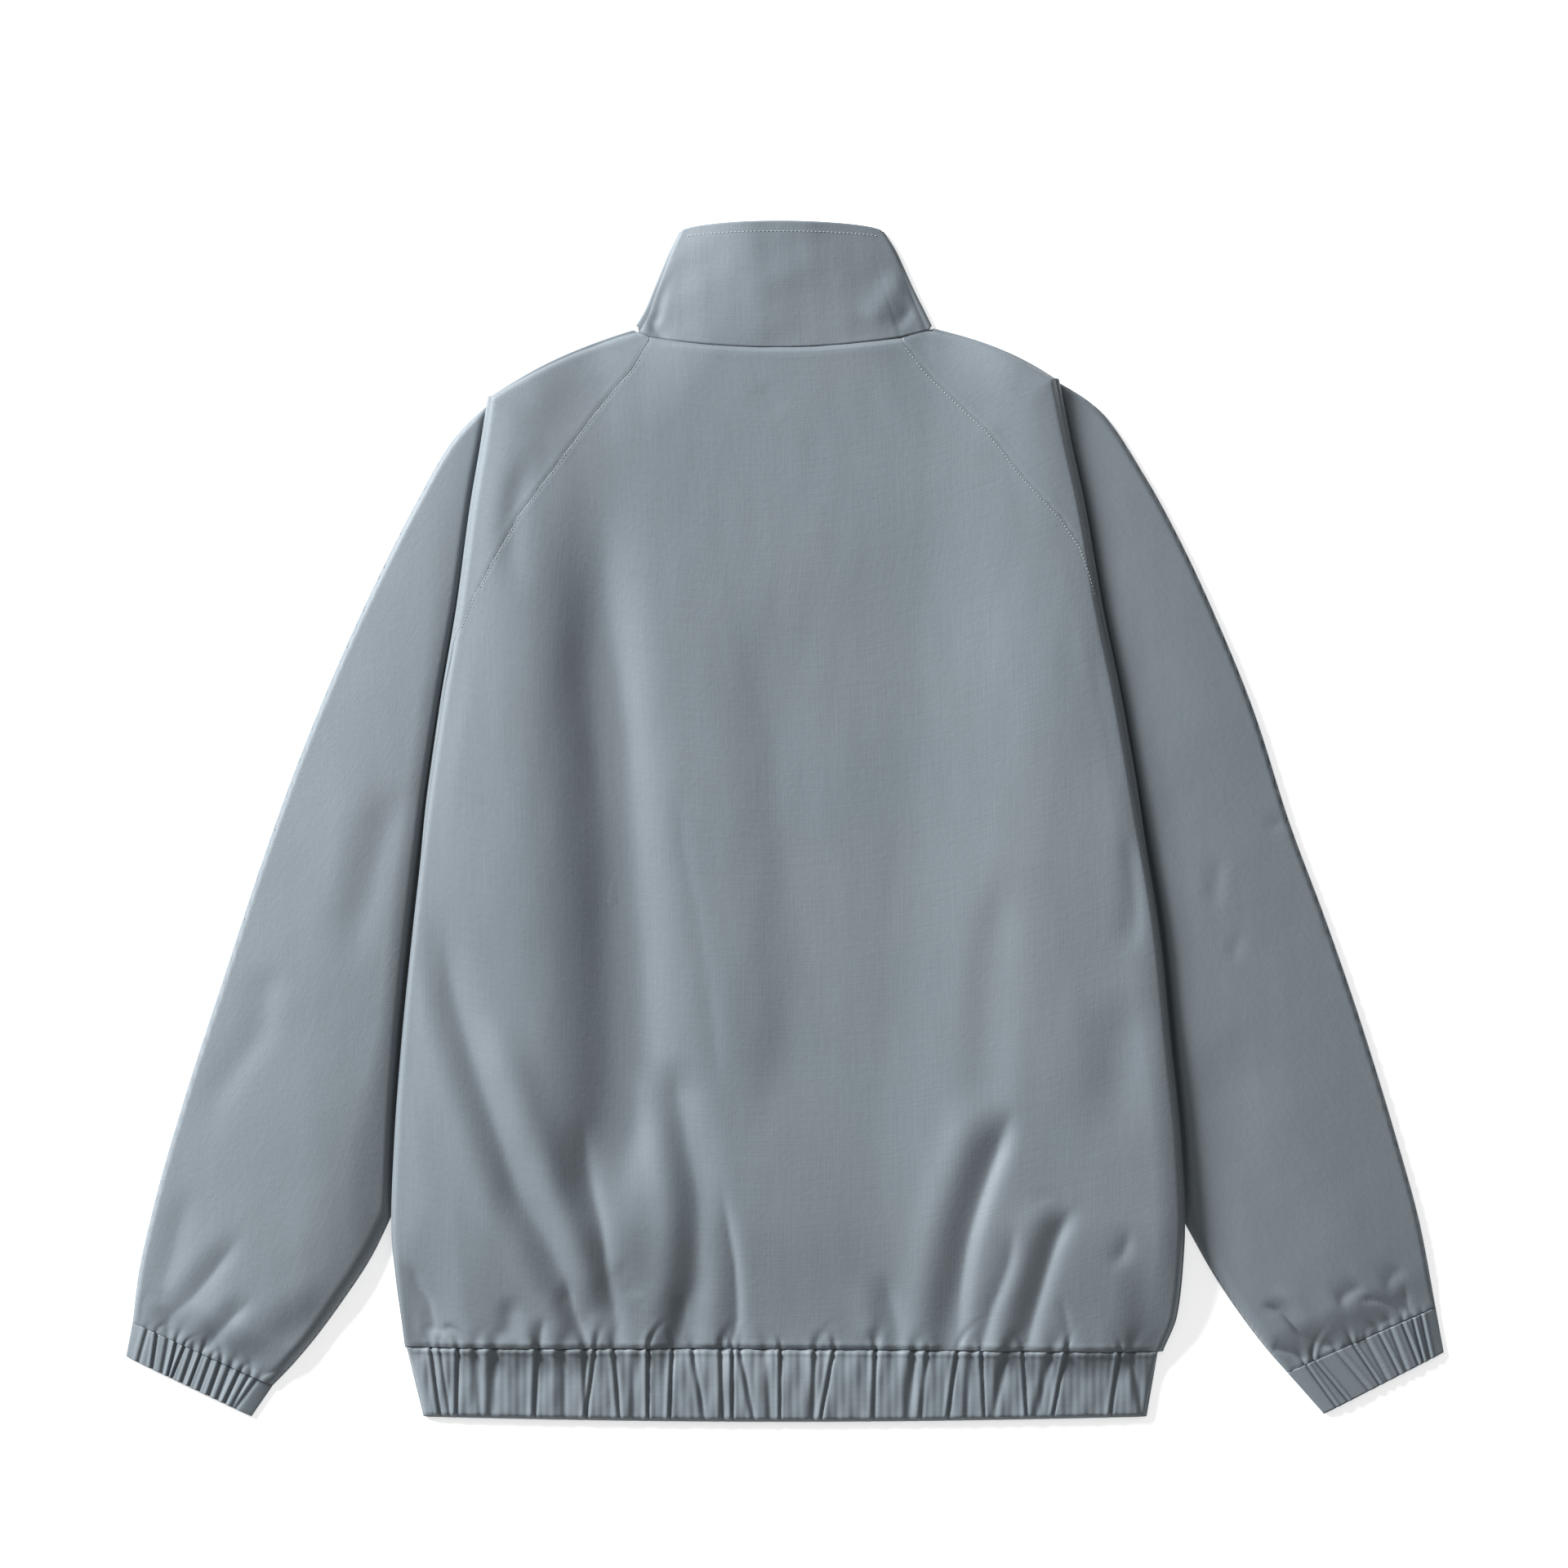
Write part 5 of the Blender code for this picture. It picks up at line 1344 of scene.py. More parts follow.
# ---------------------------------------------------------------- sleeves and cuffs
@dataclass(frozen=True)
class Sleeve:
    """One-piece raglan sleeve, from its cap, turned under at the side crease, out again to the cuff seam.

    Attributes:
        side: Which sleeve.
        cap_rows, crease_rows, wedge_rows, arm_rows: Rows of its stretches.
        columns: Columns of its upper layer.
        rim_steps: Steps of its rounded edges.
        outer_pillow, inner_pillow: Height and width of each edge's roll and of its dome, in mm.
        cuff_share: How much of that height is left at the cuff seam.
        flat, area: The cut in metres and square metres; not used.
    """

    side: Side
    cap_rows: int = 60
    crease_rows: int = 8
    wedge_rows: int = 4
    arm_rows: int = 231
    columns: int = 145
    rim_steps: int = 6
    lower_step: int = 4
    crowding: float = 0.02
    outer_pillow: tuple = ((3.0, 3.0, 11.5, 155.0), (3.0, 3.0, 5.2, 110.0))
    inner_pillow: tuple = (8.0, 8.0, 4.0, 50.0)
    tuck: tuple = ((0.52, 4.5, 0.28, 15.0, 1.0, 60.0), (0.74, 4.0, 0.2, 16.0, 1.3, 50.0))
    cuff_share: float = 0.42
    flat: tuple[float, float] = (0.50, 0.80)
    area: float = 0.25
    left_folds: tuple = (
        Fold(((-257, 31), (-274, -24), (-284, -63), (-293, -107)), 14, 2.2, lee=0.8, ridge=0.3,
            fade_in=40, fade_out=50),
        Fold(((-336, -94), (-349, -113), (-353, -141), (-370, -166), (-384, -189), (-388, -222)),
            13, 2.4, lee=0.8, fade_in=25, fade_out=45),
        Fold(((-396, -239), (-406, -270), (-416, -307), (-420, -327)), 10, 2.8, lee=0.8, crisp=1.7,
            ridge=0.35, fade_in=35, fade_out=10),
        Fold(((-361, -272), (-378, -296), (-396, -318), (-413, -333), (-415, -344)), 8, 2.8,
            lee=0.7, crisp=1.5, ridge=0.35, fade_in=35, fade_out=0),
        Fold(((-353, -317), (-369, -332), (-382, -346), (-392, -359)), 7, 2.4, lee=0.7, crisp=1.5,
            ridge=0.4, fade_in=25, fade_out=0),
        Fold(((-292, -318), (-322, -339), (-349, -356), (-367, -366)), 12, 1.8, lee=1.0, ridge=0.4,
            fade_in=30, fade_out=5),
        Fold(((-354, -375), (-344, -370), (-332, -370)), 3, 1.0, lee=0.6, crisp=1.3, fade_in=5,
            fade_out=0),
        Fold(((-433, -339), (-431, -324), (-427, -313)), 4, 1.4, lee=0.6, crisp=1.3, fade_in=0,
            fade_out=12),
        Fold(((-317, 80), (-330, 42), (-334, 9)), 16, 1.0, lee=1.0, fade_in=40, fade_out=40),
        Fold(((-253, 168), (-265, 119), (-270, 86)), 18, 1.0, lee=1.0, fade_in=40, fade_out=40),
    )
    right_folds: tuple = (
        Fold(((321, -6), (343, 3)), 5, 1.3, lee=0.7, crisp=1.5, fade_in=12, fade_out=0),
        Fold(((361, -77), (370, -74)), 5, 1.0, lee=0.7, fade_in=5, fade_out=0),
        Fold(((294, -19), (287, -63)), 7, 0.7, lee=0.8, fade_in=18, fade_out=18),
        Fold(((308, -71), (299, -98)), 6, 0.6, lee=0.8, fade_in=12, fade_out=12),
        Fold(((297, -134), (304, -217), (314, -272)), 20, 1.4, lee=1.0, fade_in=50, fade_out=50),
        Fold(((419, -299), (409, -306), (403, -317)), 7, 1.8, lee=0.7, crisp=1.5, fade_in=8,
            fade_out=8),
        Fold(((392, -311), (378, -318), (371, -327)), 7, 1.8, lee=0.7, crisp=1.5, fade_in=8,
            fade_out=8),
        Fold(((384, -321), (402, -323), (418, -332)), 4, 1.8, lee=0.5, crisp=1.2, fade_in=10,
            fade_out=6),
        Fold(((417, -308), (420, -327), (424, -339)), 6, 2.2, lee=0.5, crisp=1.3, fade_in=14,
            fade_out=0),
        Fold(((319, -324), (334, -330), (348, -344), (374, -360)), 6, 2.8, lee=0.4, crisp=1.2,
            ridge=0.3, fade_in=14, fade_out=0),
        Fold(((326, -354), (342, -358), (354, -364)), 4, 1.8, lee=0.5, crisp=1.2, fade_in=5,
            fade_out=0),
        Fold(((394, -351), (402, -339), (414, -334)), 5, 1.4, lee=0.6, crisp=1.4, fade_in=0,
            fade_out=8),
    )

    def arm_rise(self, points: Array) -> Array:
        """How far the arm's upper layer stands above its edge.

        Args:
            points: (..., 2) places in plan, as distance out and height, in mm.

        Returns:
            Loft times the swell from both edges, with folds, gathers and unevenness, in mm.
        """
        outer, inner = LAY.section_curves(self.side, np.linspace(0.0, 1.0, 160))
        out, y = points[..., 0], points[..., 1]
        x = self.side.sign * out
        past_edge = out - LAY.side_edge(self.side, y)
        jump, jump_width, dip, dip_width, widening, far = LAY.pick(self.side, self.tuck)
        dip_width = dip_width * (1.0 + widening * ramp((np.abs(y + 10.0) - 110.0) / 120.0))
        beyond = jump * swell(past_edge - 1.4, jump_width) + dip * swell(past_edge - 1.4, dip_width)
        beyond = beyond + (1.0 - jump - dip) * ramp((past_edge - 1.0) / far)
        outer_pillow = LAY.pick(self.side, self.outer_pillow)
        to_edge = [np.maximum(nearest(points, line) - LAY.edge_inset, 0.0) for line in (outer, inner)]
        full, inner_full = outer_pillow[0] + outer_pillow[2], self.inner_pillow[0] + self.inner_pillow[2]
        rounded = pillow(to_edge[0], *outer_pillow) * pillow(to_edge[1], *self.inner_pillow) / (full * inner_full)
        across = unit(inner[-1] - outer[-1])
        from_cuff = np.abs((points - outer[-1]) @ np.array([-across[1], across[0]]))
        along_cuff = (points - outer[-1]) @ across
        loft = full * (1.0 - (1.0 - self.cuff_share) * (1.0 - ramp(from_cuff / 30.0)))
        folds = folds_at(self.left_folds if self.side is Side.LEFT else self.right_folds, x, y)
        uneven = 0.4 * ripples(x, 0.7 * y, 31, 9, 60.0, 130.0) + 0.05 * ripples(x, 0.7 * y, 37, 14, 16.0, 36.0)
        gathers = self.cuff_puckers(along_cuff, from_cuff, float(np.hypot(*(inner[-1] - outer[-1]))))
        tucked = 0.3 + 0.7 * ramp(from_cuff / 7.0)
        seam = LAY.seam_dip * bump(from_cuff / LAY.seam_dip_width)
        return np.maximum((loft + folds * tucked + gathers + uneven - seam) * rounded, 0.0) * beyond

    def cuff_puckers(self, along: Array, above: Array, width: float) -> Array:
        """The cuff's gathers, carried on over its seam as short commas.

        Args:
            along: Places along the cuff seam, in mm.
            above: Distances from it, in mm.
            width: The seam's length in mm.

        Returns:
            Their height, in mm.
        """
        total = 0.4 * ripples(along, 0.3 * above, 41, 6, 6.0, 15.0) * np.exp(-above / 7.0)
        for count, (top, _, half, depth) in enumerate(LAY.cuff_gathers(self.side)):
            reach = 4.0 + 7.0 * ((count * 0.618) % 1.0)
            centre = width * top + 0.05 * above**2 * math.sin(count * 2.1)
            aside = (along - centre) / (half * (1.0 + above / 8.0))
            total -= depth * (bump(aside) - 0.5 * bump((aside + 2.0) / 1.4)) * bump(above / reach)
        return total

    def sheet(self) -> tuple[Array, Array, Array]:
        """Middle surface of the flat tube.

        Returns:
            Points as distance out, their upward normals, and the height of the upper layer above them, in mm.
        """
        share = spaced(self.columns, 330.0, 0.8, 6)
        crease_out, crease_y = LAY.crease_point(self.side, share)
        past, start_y, start_out = LAY.cap_start(self.side, share)
        length = LAY.crease_radius * math.pi
        stack = LAY.middle_rest + LAY.stack_rise
        parts = spaced(self.cap_rows + 1, 90.0, 0.5, 6)
        shoulder = LAY.shoulder_line(self.side, parts)
        bow = shoulder - (parts[:, None] * (shoulder[-1] - shoulder[0]) + shoulder[0])
        points, tilts, above = [], [], []
        for row in range(self.cap_rows + self.crease_rows + 1):
            held = min(row, self.cap_rows)
            part = parts[held]
            flat = np.where(share < LAY.meeting_share, past * (1 - part), -FAR)
            level = np.maximum(flat, past + LAY.seam_gap / 2 + self.crowding * row)
            if row >= self.cap_rows:
                level = np.maximum(level, (row - self.cap_rows) / self.crease_rows * length)
            turned = np.clip(level, 0.0, length) / LAY.crease_radius
            lifted = level <= 0
            bowed = bow[held] * ((1 - share) ** 3)[:, None]
            base = start_out + (crease_out - start_out) * part + (LAY.seam_gap / 2 if row == 0 else 0.0)
            out = np.where(lifted, base + bowed[:, 0], crease_out + LAY.crease_radius * np.sin(turned))
            y = start_y + (crease_y - start_y) * part + bowed[:, 1] * lifted
            x = self.side.sign * out
            rest = LAY.body_rest(x, y)
            z = np.where(lifted, rest, stack - LAY.crease_radius * (1 - np.cos(turned)))
            points.append(np.stack([out, y, z], -1))
            tilts.append(np.where(lifted, 0.0, turned))
            above.append(np.where(lifted, LAY.back_height(x, y) - rest, LAY.edge_radius))
        corners = LAY.sections(self.side)[0]
        inner_out = corners[0] + (corners[2] - corners[0]) * share
        inner_y = corners[1] - LAY.edge_inset + (corners[3] - corners[1] + LAY.edge_inset) * share
        below = stack - 2 * LAY.crease_radius
        for part in np.linspace(0.0, 1.0, self.wedge_rows + 2)[1:-1]:
            out = crease_out + (inner_out - crease_out) * part
            points.append(np.stack([out, crease_y + (inner_y - crease_y) * part, 0 * out + below], -1))
            tilts.append(np.full(share.shape, math.pi))
            above.append(np.full(share.shape, LAY.edge_radius))
        for angle in np.linspace(0.0, math.pi, self.crease_rows + 1):
            out = inner_out - LAY.crease_radius * math.sin(angle)
            z = 0 * out + below - LAY.crease_radius * (1 - math.cos(angle))
            points.append(np.stack([out, inner_y, z], -1))
            tilts.append(np.full(share.shape, math.pi - angle))
            above.append(np.full(share.shape, LAY.edge_radius))
        places = spaced(self.arm_rows + 1, 460.0, 0.9, 12)[1:]
        outer, inner = LAY.section_curves(self.side, places)
        across = unit(inner - outer)
        first, last = outer + across * LAY.edge_inset, inner - across * LAY.edge_inset
        plan = first[:, None] + (last - first)[:, None] * share[:, None]
        arm = np.concatenate([plan, np.full((*plan.shape[:2], 1), LAY.middle_rest)], -1)
        points = np.concatenate([np.array(points), arm])
        tilt = np.concatenate([np.array(tilts), np.zeros(plan.shape[:2])])
        above = np.concatenate([np.array(above), LAY.edge_radius + self.arm_rise(plan)])
        return points, np.stack([np.sin(tilt), 0 * tilt, np.cos(tilt)], -1), above

    def build(self, finishes: Finishes) -> bpy.types.Object:
        """Makes and dresses the sleeve."""
        ring = flat_tube(*self.sheet(), self.rim_steps, self.lower_step)
        piece = ClothWall("sleeve_cloth_" + self.side.value, ring=True).build(placed(self.side, ring))
        dress(piece, finishes.cloth, "sleeve_" + self.side.value)
        return piece


def flat_tube(points: Array, normals: Array, above: Array, rim_steps: int, lower_step: int) -> Array:
    """Ring of middle points of a tube pressed flat.

    Args:
        points, normals: The flat tube's middle surface, (rows, columns, 3).
        above: Height of the upper layer above it, in mm.
        rim_steps: Steps round each edge.
        lower_step: The lower layer takes every so many columns.

    Returns:
        (rows, columns, 3): the upper layer, a rounded rim, the lower layer and the other rim, an even number.
    """
    radius = LAY.edge_radius
    far, near = unit(points[:, -1] - points[:, -2]), unit(points[:, 0] - points[:, 1])
    upper = points + normals * above[..., None]
    lower = (points - normals * radius)[:, ::-1][:, ::lower_step]
    turns = (np.arange(1, rim_steps) * math.pi / rim_steps)[:, None, None]
    up, across = normals * radius, radius * np.sin(turns)
    far_rim = points[:, -1] + up[:, -1] * np.cos(turns) + far * across
    near_rim = points[:, 0] - up[:, 0] * np.cos(turns) + near * across
    return np.concatenate([upper, np.moveaxis(far_rim, 0, 1), lower, np.moveaxis(near_rim, 0, 1)], 1)


@dataclass(frozen=True)
class Cuff:
    """Elasticated cuff: a short tube beyond the sleeve's end, drawn into sharp uneven gathers.

    Attributes:
        side: Which cuff.
        rows, columns: Fineness of its upper layer.
        loft, rounding: Height above its edge in mm, and how far in it is full.
        flat: The cut all round, in metres; not used.
    """

    side: Side
    rows: int = 29
    columns: int = 225
    rim_steps: int = 6
    lower_step: int = 4
    loft: float = 2.6
    rounding: float = 14.0
    flat: tuple[float, float] = (0.235, 0.028)
    # outer edge out, y, inner edge out, y: the cuff's low end
    left_end: tuple = (443.3, -359.7, 358.1, -400.4)
    right_end: tuple = (444.4, -357.0, 363.0, -398.8)

    def build(self, finishes: Finishes) -> bpy.types.Object:
        """Makes and dresses the cuff: straight rows from seam to low end, with grooves along the gathers."""
        outer, inner = LAY.section_curves(self.side, np.array([1.0]))
        end = np.array(self.left_end if self.side is Side.LEFT else self.right_end)
        table = LAY.cuff_gathers(self.side)
        place = np.linspace(0.0, 1.0, self.rows)[:, None]
        down = unit(end[:2] - outer[0]) * LAY.seam_gap
        first = outer + (end[:2] - outer) * place + down * (1 - place)
        last = inner + (end[2:] - inner) * place + down * (1 - place)
        across = unit(last - first)
        first, last = first + across * LAY.edge_inset, last - across * LAY.edge_inset
        share = np.linspace(0.0, 1.0, self.columns)
        plan = first[:, None] + (last - first)[:, None] * share[:, None]
        width = np.linalg.norm(last - first, axis=-1)[:, None]
        inset = np.minimum(share, 1 - share) * width
        rise = self.loft * swell(inset, self.rounding) * (1 - 0.3 * place)
        for top, low, half, depth in table:
            middle = top + (low - top) * place
            aside = (share - middle) * width / half
            rise = rise - depth * (bump(aside - 0.2) - 0.55 * bump((aside + 1.6) / 1.2)) * ramp(inset / 4.0)
        rise = np.maximum(rise, 0.0)
        points = np.concatenate([plan, np.full((*plan.shape[:2], 1), LAY.middle_rest)], -1)
        normals = np.zeros(points.shape)
        normals[..., 2] = 1.0
        ring = flat_tube(points, normals, LAY.edge_radius + rise, self.rim_steps, self.lower_step)
        piece = ClothWall("cuff_cloth_" + self.side.value, ring=True).build(placed(self.side, ring))
        dress(piece, finishes.cloth, "cuff_" + self.side.value)
        return piece


# ---------------------------------------------------------------- hem band and collar
def side_rim(edge: Array, sign: float, radius: float, middle: float, steps: int) -> Array:
    """Rounded side of a band, from its lower to its upper layer.

    Args:
        edge: (rows, 2) the edge's middle line in mm.
        sign: Minus one at the left, one at the right.
        radius, middle: Radius and level of the rounding in mm.
        steps: Steps round it.

    Returns:
        (rows, steps - 1, 3) middle points on a half circle.
    """
    angles = np.linspace(0.0, math.pi, steps + 1)[1:-1]
    out = edge[:, :1] + sign * radius * np.sin(angles)
    z = np.broadcast_to(middle - radius * np.cos(angles), out.shape)
    return np.stack([out, np.broadcast_to(edge[:, 1:], out.shape), z], -1)


@dataclass(frozen=True)
class HemBand:
    """Elasticated hem band: drawn into sharp gathers over the back, plain beneath, open at the zip.

    Attributes:
        rows: Rows from the seam to the low edge.
        columns: Columns over the back.
        front_columns: Columns of each half beneath.
        pillow: Height and width of its sides' roll and of its dome, in mm.
        bow: How far the low edge bows downwards, in mm.
        flat: The cut all round, in metres; not used.
    """

    rows: int = 41
    columns: int = 501
    front_columns: int = 40
    rim_steps: int = 6
    pillow: tuple = (3.6, 6.0, 1.2, 60.0)
    bow: float = 3.4
    flat: tuple[float, float] = (1.12, 0.048)
    # x at the seam, then at the low edge, on each side
    left_edge: tuple = (-254.6, -353.6, -243.1, -400.2)
    right_edge: tuple = (252.0, -356.4, 244.4, -400.2)

    def edge(self, side: Side) -> Array:
        """Middle line of one side edge, (rows, 2) in mm."""
        top_x, top_y, low_x, low_y = self.left_edge if side is Side.LEFT else self.right_edge
        place = np.linspace(0.0, 1.0, self.rows)[:, None]
        start = np.array([top_x - side.sign * LAY.edge_inset, top_y - LAY.seam_gap / 2])
        end = np.array([low_x - side.sign * LAY.edge_inset, low_y - LAY.seam_gap / 2])
        return start + (end - start) * place

    def back(self, start: Array, end: Array) -> Array:
        """Middle points over the back: the back's level at the seam, falling to the band's own loft.

        Args:
            start, end: The left and right side edges' middle lines.

        Returns:
            (rows, columns, 3) in mm, with a groove and a soft ridge along each gather.
        """
        place = np.linspace(0.0, 1.0, self.rows)[:, None]
        share = spaced(self.columns, 505.0, 0.4, 6)
        plan = start[:, None] + (end - start)[:, None] * share[:, None]
        plan[..., 1] -= self.bow * np.sin(math.pi * share) * place
        x, y = plan[..., 0], plan[..., 1]
        inset = np.minimum(share, 1 - share) * (end - start)[:, :1]
        own = pillow(inset, *self.pillow)
        body = LAY.back_height(x[:1], y[:1]) - LAY.middle_rest - LAY.edge_radius
        rise = own + (body - own) * np.clip(1 - place * 2.2, 0.0, 1.0) ** 2
        grooves = np.zeros(x.shape)
        for top, low, half, depth in LAY.hem_gathers:
            aside = (x - top - (low - top) * place) / half
            grooves -= depth * (bump(aside) - 0.5 * bump((aside + 2.0) / 1.4))
        grooves += 0.35 * ripples(x, 0.2 * y, 53, 8, 5.0, 14.0)
        lip = 0.7 * bump((place - 0.05) / 0.03) - 0.7 * bump(place / 0.018)
        rise = np.maximum(rise + (grooves + lip) * ramp(inset / 6.0), 0.0)
        rise = rise * (1.0 - 0.6 * ramp((place - 0.94) / 0.06))
        return np.stack([x, y, LAY.middle_rest + LAY.edge_radius + rise], -1)

    def build(self, finishes: Finishes) -> bpy.types.Object:
        """Makes and dresses the band."""
        start, end = self.edge(Side.LEFT), self.edge(Side.RIGHT)
        share = np.linspace(0.0, 1.0, self.front_columns)
        place = np.linspace(0.0, 1.0, self.rows)[:, None]
        fronts = []
        for sign, edge in ((-1.0, start), (1.0, end)):
            zip_end = np.concatenate([0 * edge[:, :1] + sign * LAY.zip_half_gap, edge[:, 1:] - self.bow * place], 1)
            line = zip_end[:, None] + (edge - zip_end)[:, None] * share[:, None]
            fronts.append(np.concatenate([line, np.full((*line.shape[:2], 1), LAY.front_rest)], -1))
        rims = [
            side_rim(edge, sign, LAY.edge_radius, LAY.middle_rest, self.rim_steps)
            for sign, edge in ((-1.0, start), (1.0, end))
        ]
        grid = np.concatenate([fronts[0], rims[0], self.back(start, end), rims[1][:, ::-1], fronts[1][:, ::-1]], 1)
        piece = ClothWall("hem_band_cloth").build(grid)
        dress(piece, finishes.cloth, "hem_band")
        return piece


@dataclass(frozen=True)
class Collar:
    """Stand collar, pressed flat: its back half above, its two front halves meeting at the zip.

    Attributes:
        thickness: The collar's two layers of cloth together, in mm.
        rows, columns: Fineness of the half above.
        front_columns: Columns of each half beneath.
        loft: Height of the half above over its folded edges, in mm.
        top_bow: How far the top edge bows upwards, in mm.
        front_height: Height of the collar at the zip, in mm.
        fold_ease: Gap inside the folded edges, in mm.
        flat, area: The cut all round in metres and square metres; not used.
    """

    solid_thickness: float = 1.6
    thickness: float = 1.0
    rows: int = 61
    columns: int = 161
    front_columns: int = 41
    rim_steps: int = 6
    loft: float = 10.5
    # share across, share of the loft
    lean: tuple = ((0.0, 0.0), (0.2, 0.58), (0.42, 1.0), (0.6, 0.78), (0.82, 0.38), (1.0, 0.0))
    top_bow: float = 6.6
    front_height: float = 76.0
    fold_ease: float = 0.4
    flat: tuple[float, float] = (0.41, 0.085)
    area: float = 0.029
    # height, left out, right out: the folded side edges
    side_edges: tuple = (
        (333.4, 100.4, 100.0),
        (344.3, 94.1, 94.6),
        (357.5, 88.6, 88.0),
        (370.7, 83.1, 82.0),
        (384.0, 77.5, 75.8),
        (397.0, 70.8, 67.6),
    )
    folds: tuple = (
        Fold(((-81, 372), (-85, 353), (-88, 332)), 6, 1.5, lee=0.8, ridge=0.3, fade_in=20,
            fade_out=8),
        Fold(((-95, 345), (-90, 336), (-85, 329)), 5, 1.6, lee=0.6, crisp=1.4, fade_in=5,
            fade_out=0),
        Fold(((80, 372), (69, 351), (56, 332)), 9, -1.2, lee=1.0, ridge=0.0, fade_in=15,
            fade_out=12),
        Fold(((-12, 397), (-8, 378), (-7, 360)), 14, 1.4, lee=1.4, ridge=0.3, fade_in=0,
            fade_out=30),
        Fold(((88, 349), (75, 331)), 5, 0.8, lee=0.8, fade_in=10, fade_out=5),
    )

    @property
    def radius(self) -> float:
        """Radius of the folded side edges, in mm."""
        return self.solid_thickness / 2 + self.fold_ease

    @property
    def rest(self) -> float:
        """Level of the halves beneath, in mm."""
        return self.solid_thickness / 2

    def edges(self) -> tuple[Array, Array, Array]:
        """Middle lines of the left and right folded edges, (rows, 2) in mm, and their place up the collar."""
        table = np.array(self.side_edges)
        place = np.linspace(0.0, 1.0, self.rows)
        heights = table[0, 0] + (table[-1, 0] - table[0, 0]) * place
        inset = self.solid_thickness + self.fold_ease
        left = np.stack([inset - smooth_through(table[:, 0], table[:, 1], heights), heights], -1)
        right = np.stack([smooth_through(table[:, 0], table[:, 2], heights) - inset, heights], -1)
        return left, right, place

    def back(self) -> Array:
        """Middle points of the half above: from the neck seam's level up and over to the top edge."""
        left, right, place = self.edges()
        share = spaced(self.columns, 190.0, 0.4, 6)
        plan = left[:, None] + (right - left)[:, None] * share[:, None]
        inside = (share > 0.0) & (share < 1.0)
        seam_y = LAY.neck_y(plan[0, :, 0])
        lift = np.where(inside, seam_y + LAY.seam_gap - plan[0, :, 1], 0.0)
        belly = np.sqrt(4 * share * (1 - share))
        plan[..., 1] += lift * (1 - place)[:, None] + self.top_bow * belly * place[:, None]
        x, y = plan[..., 0], plan[..., 1]
        low = self.rest + 2 * self.radius
        loft = low + pillow(np.minimum(share, 1 - share) * (right - left)[0, 0], 0.6, 1.6, 0.0, 1.0)
        loft = loft + self.loft * smooth_through(*np.array(self.lean).T, share)
        z = loft + (LAY.back_height(plan[0, :, 0], seam_y) - loft) * ((1 - place) ** 2)[:, None]
        inset = np.minimum(share, 1 - share) * (right - left)[:, :1]
        z = z + (folds_at(self.folds, x, y) + 0.12 * ripples(x, y, 61, 10, 14.0, 40.0)) * ramp(inset / 8.0)
        z = low + (np.maximum(z, low) - low) * ramp(0.5 + inset / 4.0)
        z[:, [0, -1]] = low
        return np.stack([x, y, z], -1)

    def front(self, side: Side) -> Array:
        """Middle points of one half beneath, from the zip to the folded edge."""
        left, right, place = self.edges()
        edge = left if side is Side.LEFT else right
        reach = abs(edge[0, 0]) - LAY.zip_half_gap
        corner = (LAY.pick(side, LAY.neck_corners)[0] - LAY.zip_half_gap) / reach
        share = np.append(np.linspace(0.0, 1.0, self.front_columns - 1) * corner, 1.0)
        zip_end = side.sign * LAY.zip_half_gap
        x = zip_end + (edge[:, :1] - zip_end) * share
        low = LAY.front_neck_y(side, np.abs(x[:1])) + LAY.front_neck_gap
        high = edge[-1, 1] - (edge[-1, 1] - low[0, 0] - self.front_height) * (1 - share**2)
        y = low + (high - low) * place[:, None]
        y[:, -1] = edge[:, 1]
        return np.stack([x, y, np.full(x.shape, self.rest)], -1)

    def build(self, finishes: Finishes) -> bpy.types.Object:
        """Makes and dresses the collar."""
        left, right, _ = self.edges()
        middle = self.rest + self.radius
        rims = [
            side_rim(edge, sign, self.radius, middle, self.rim_steps) for sign, edge in ((-1.0, left), (1.0, right))
        ]
        parts = [self.front(Side.LEFT), rims[0], self.back(), rims[1][:, ::-1], self.front(Side.RIGHT)[:, ::-1]]
        grid = np.concatenate(parts, 1)
        piece = ClothWall("collar_cloth", thickness=self.thickness).build(grid)
        dress(piece, finishes.cloth, "collar")
        return piece


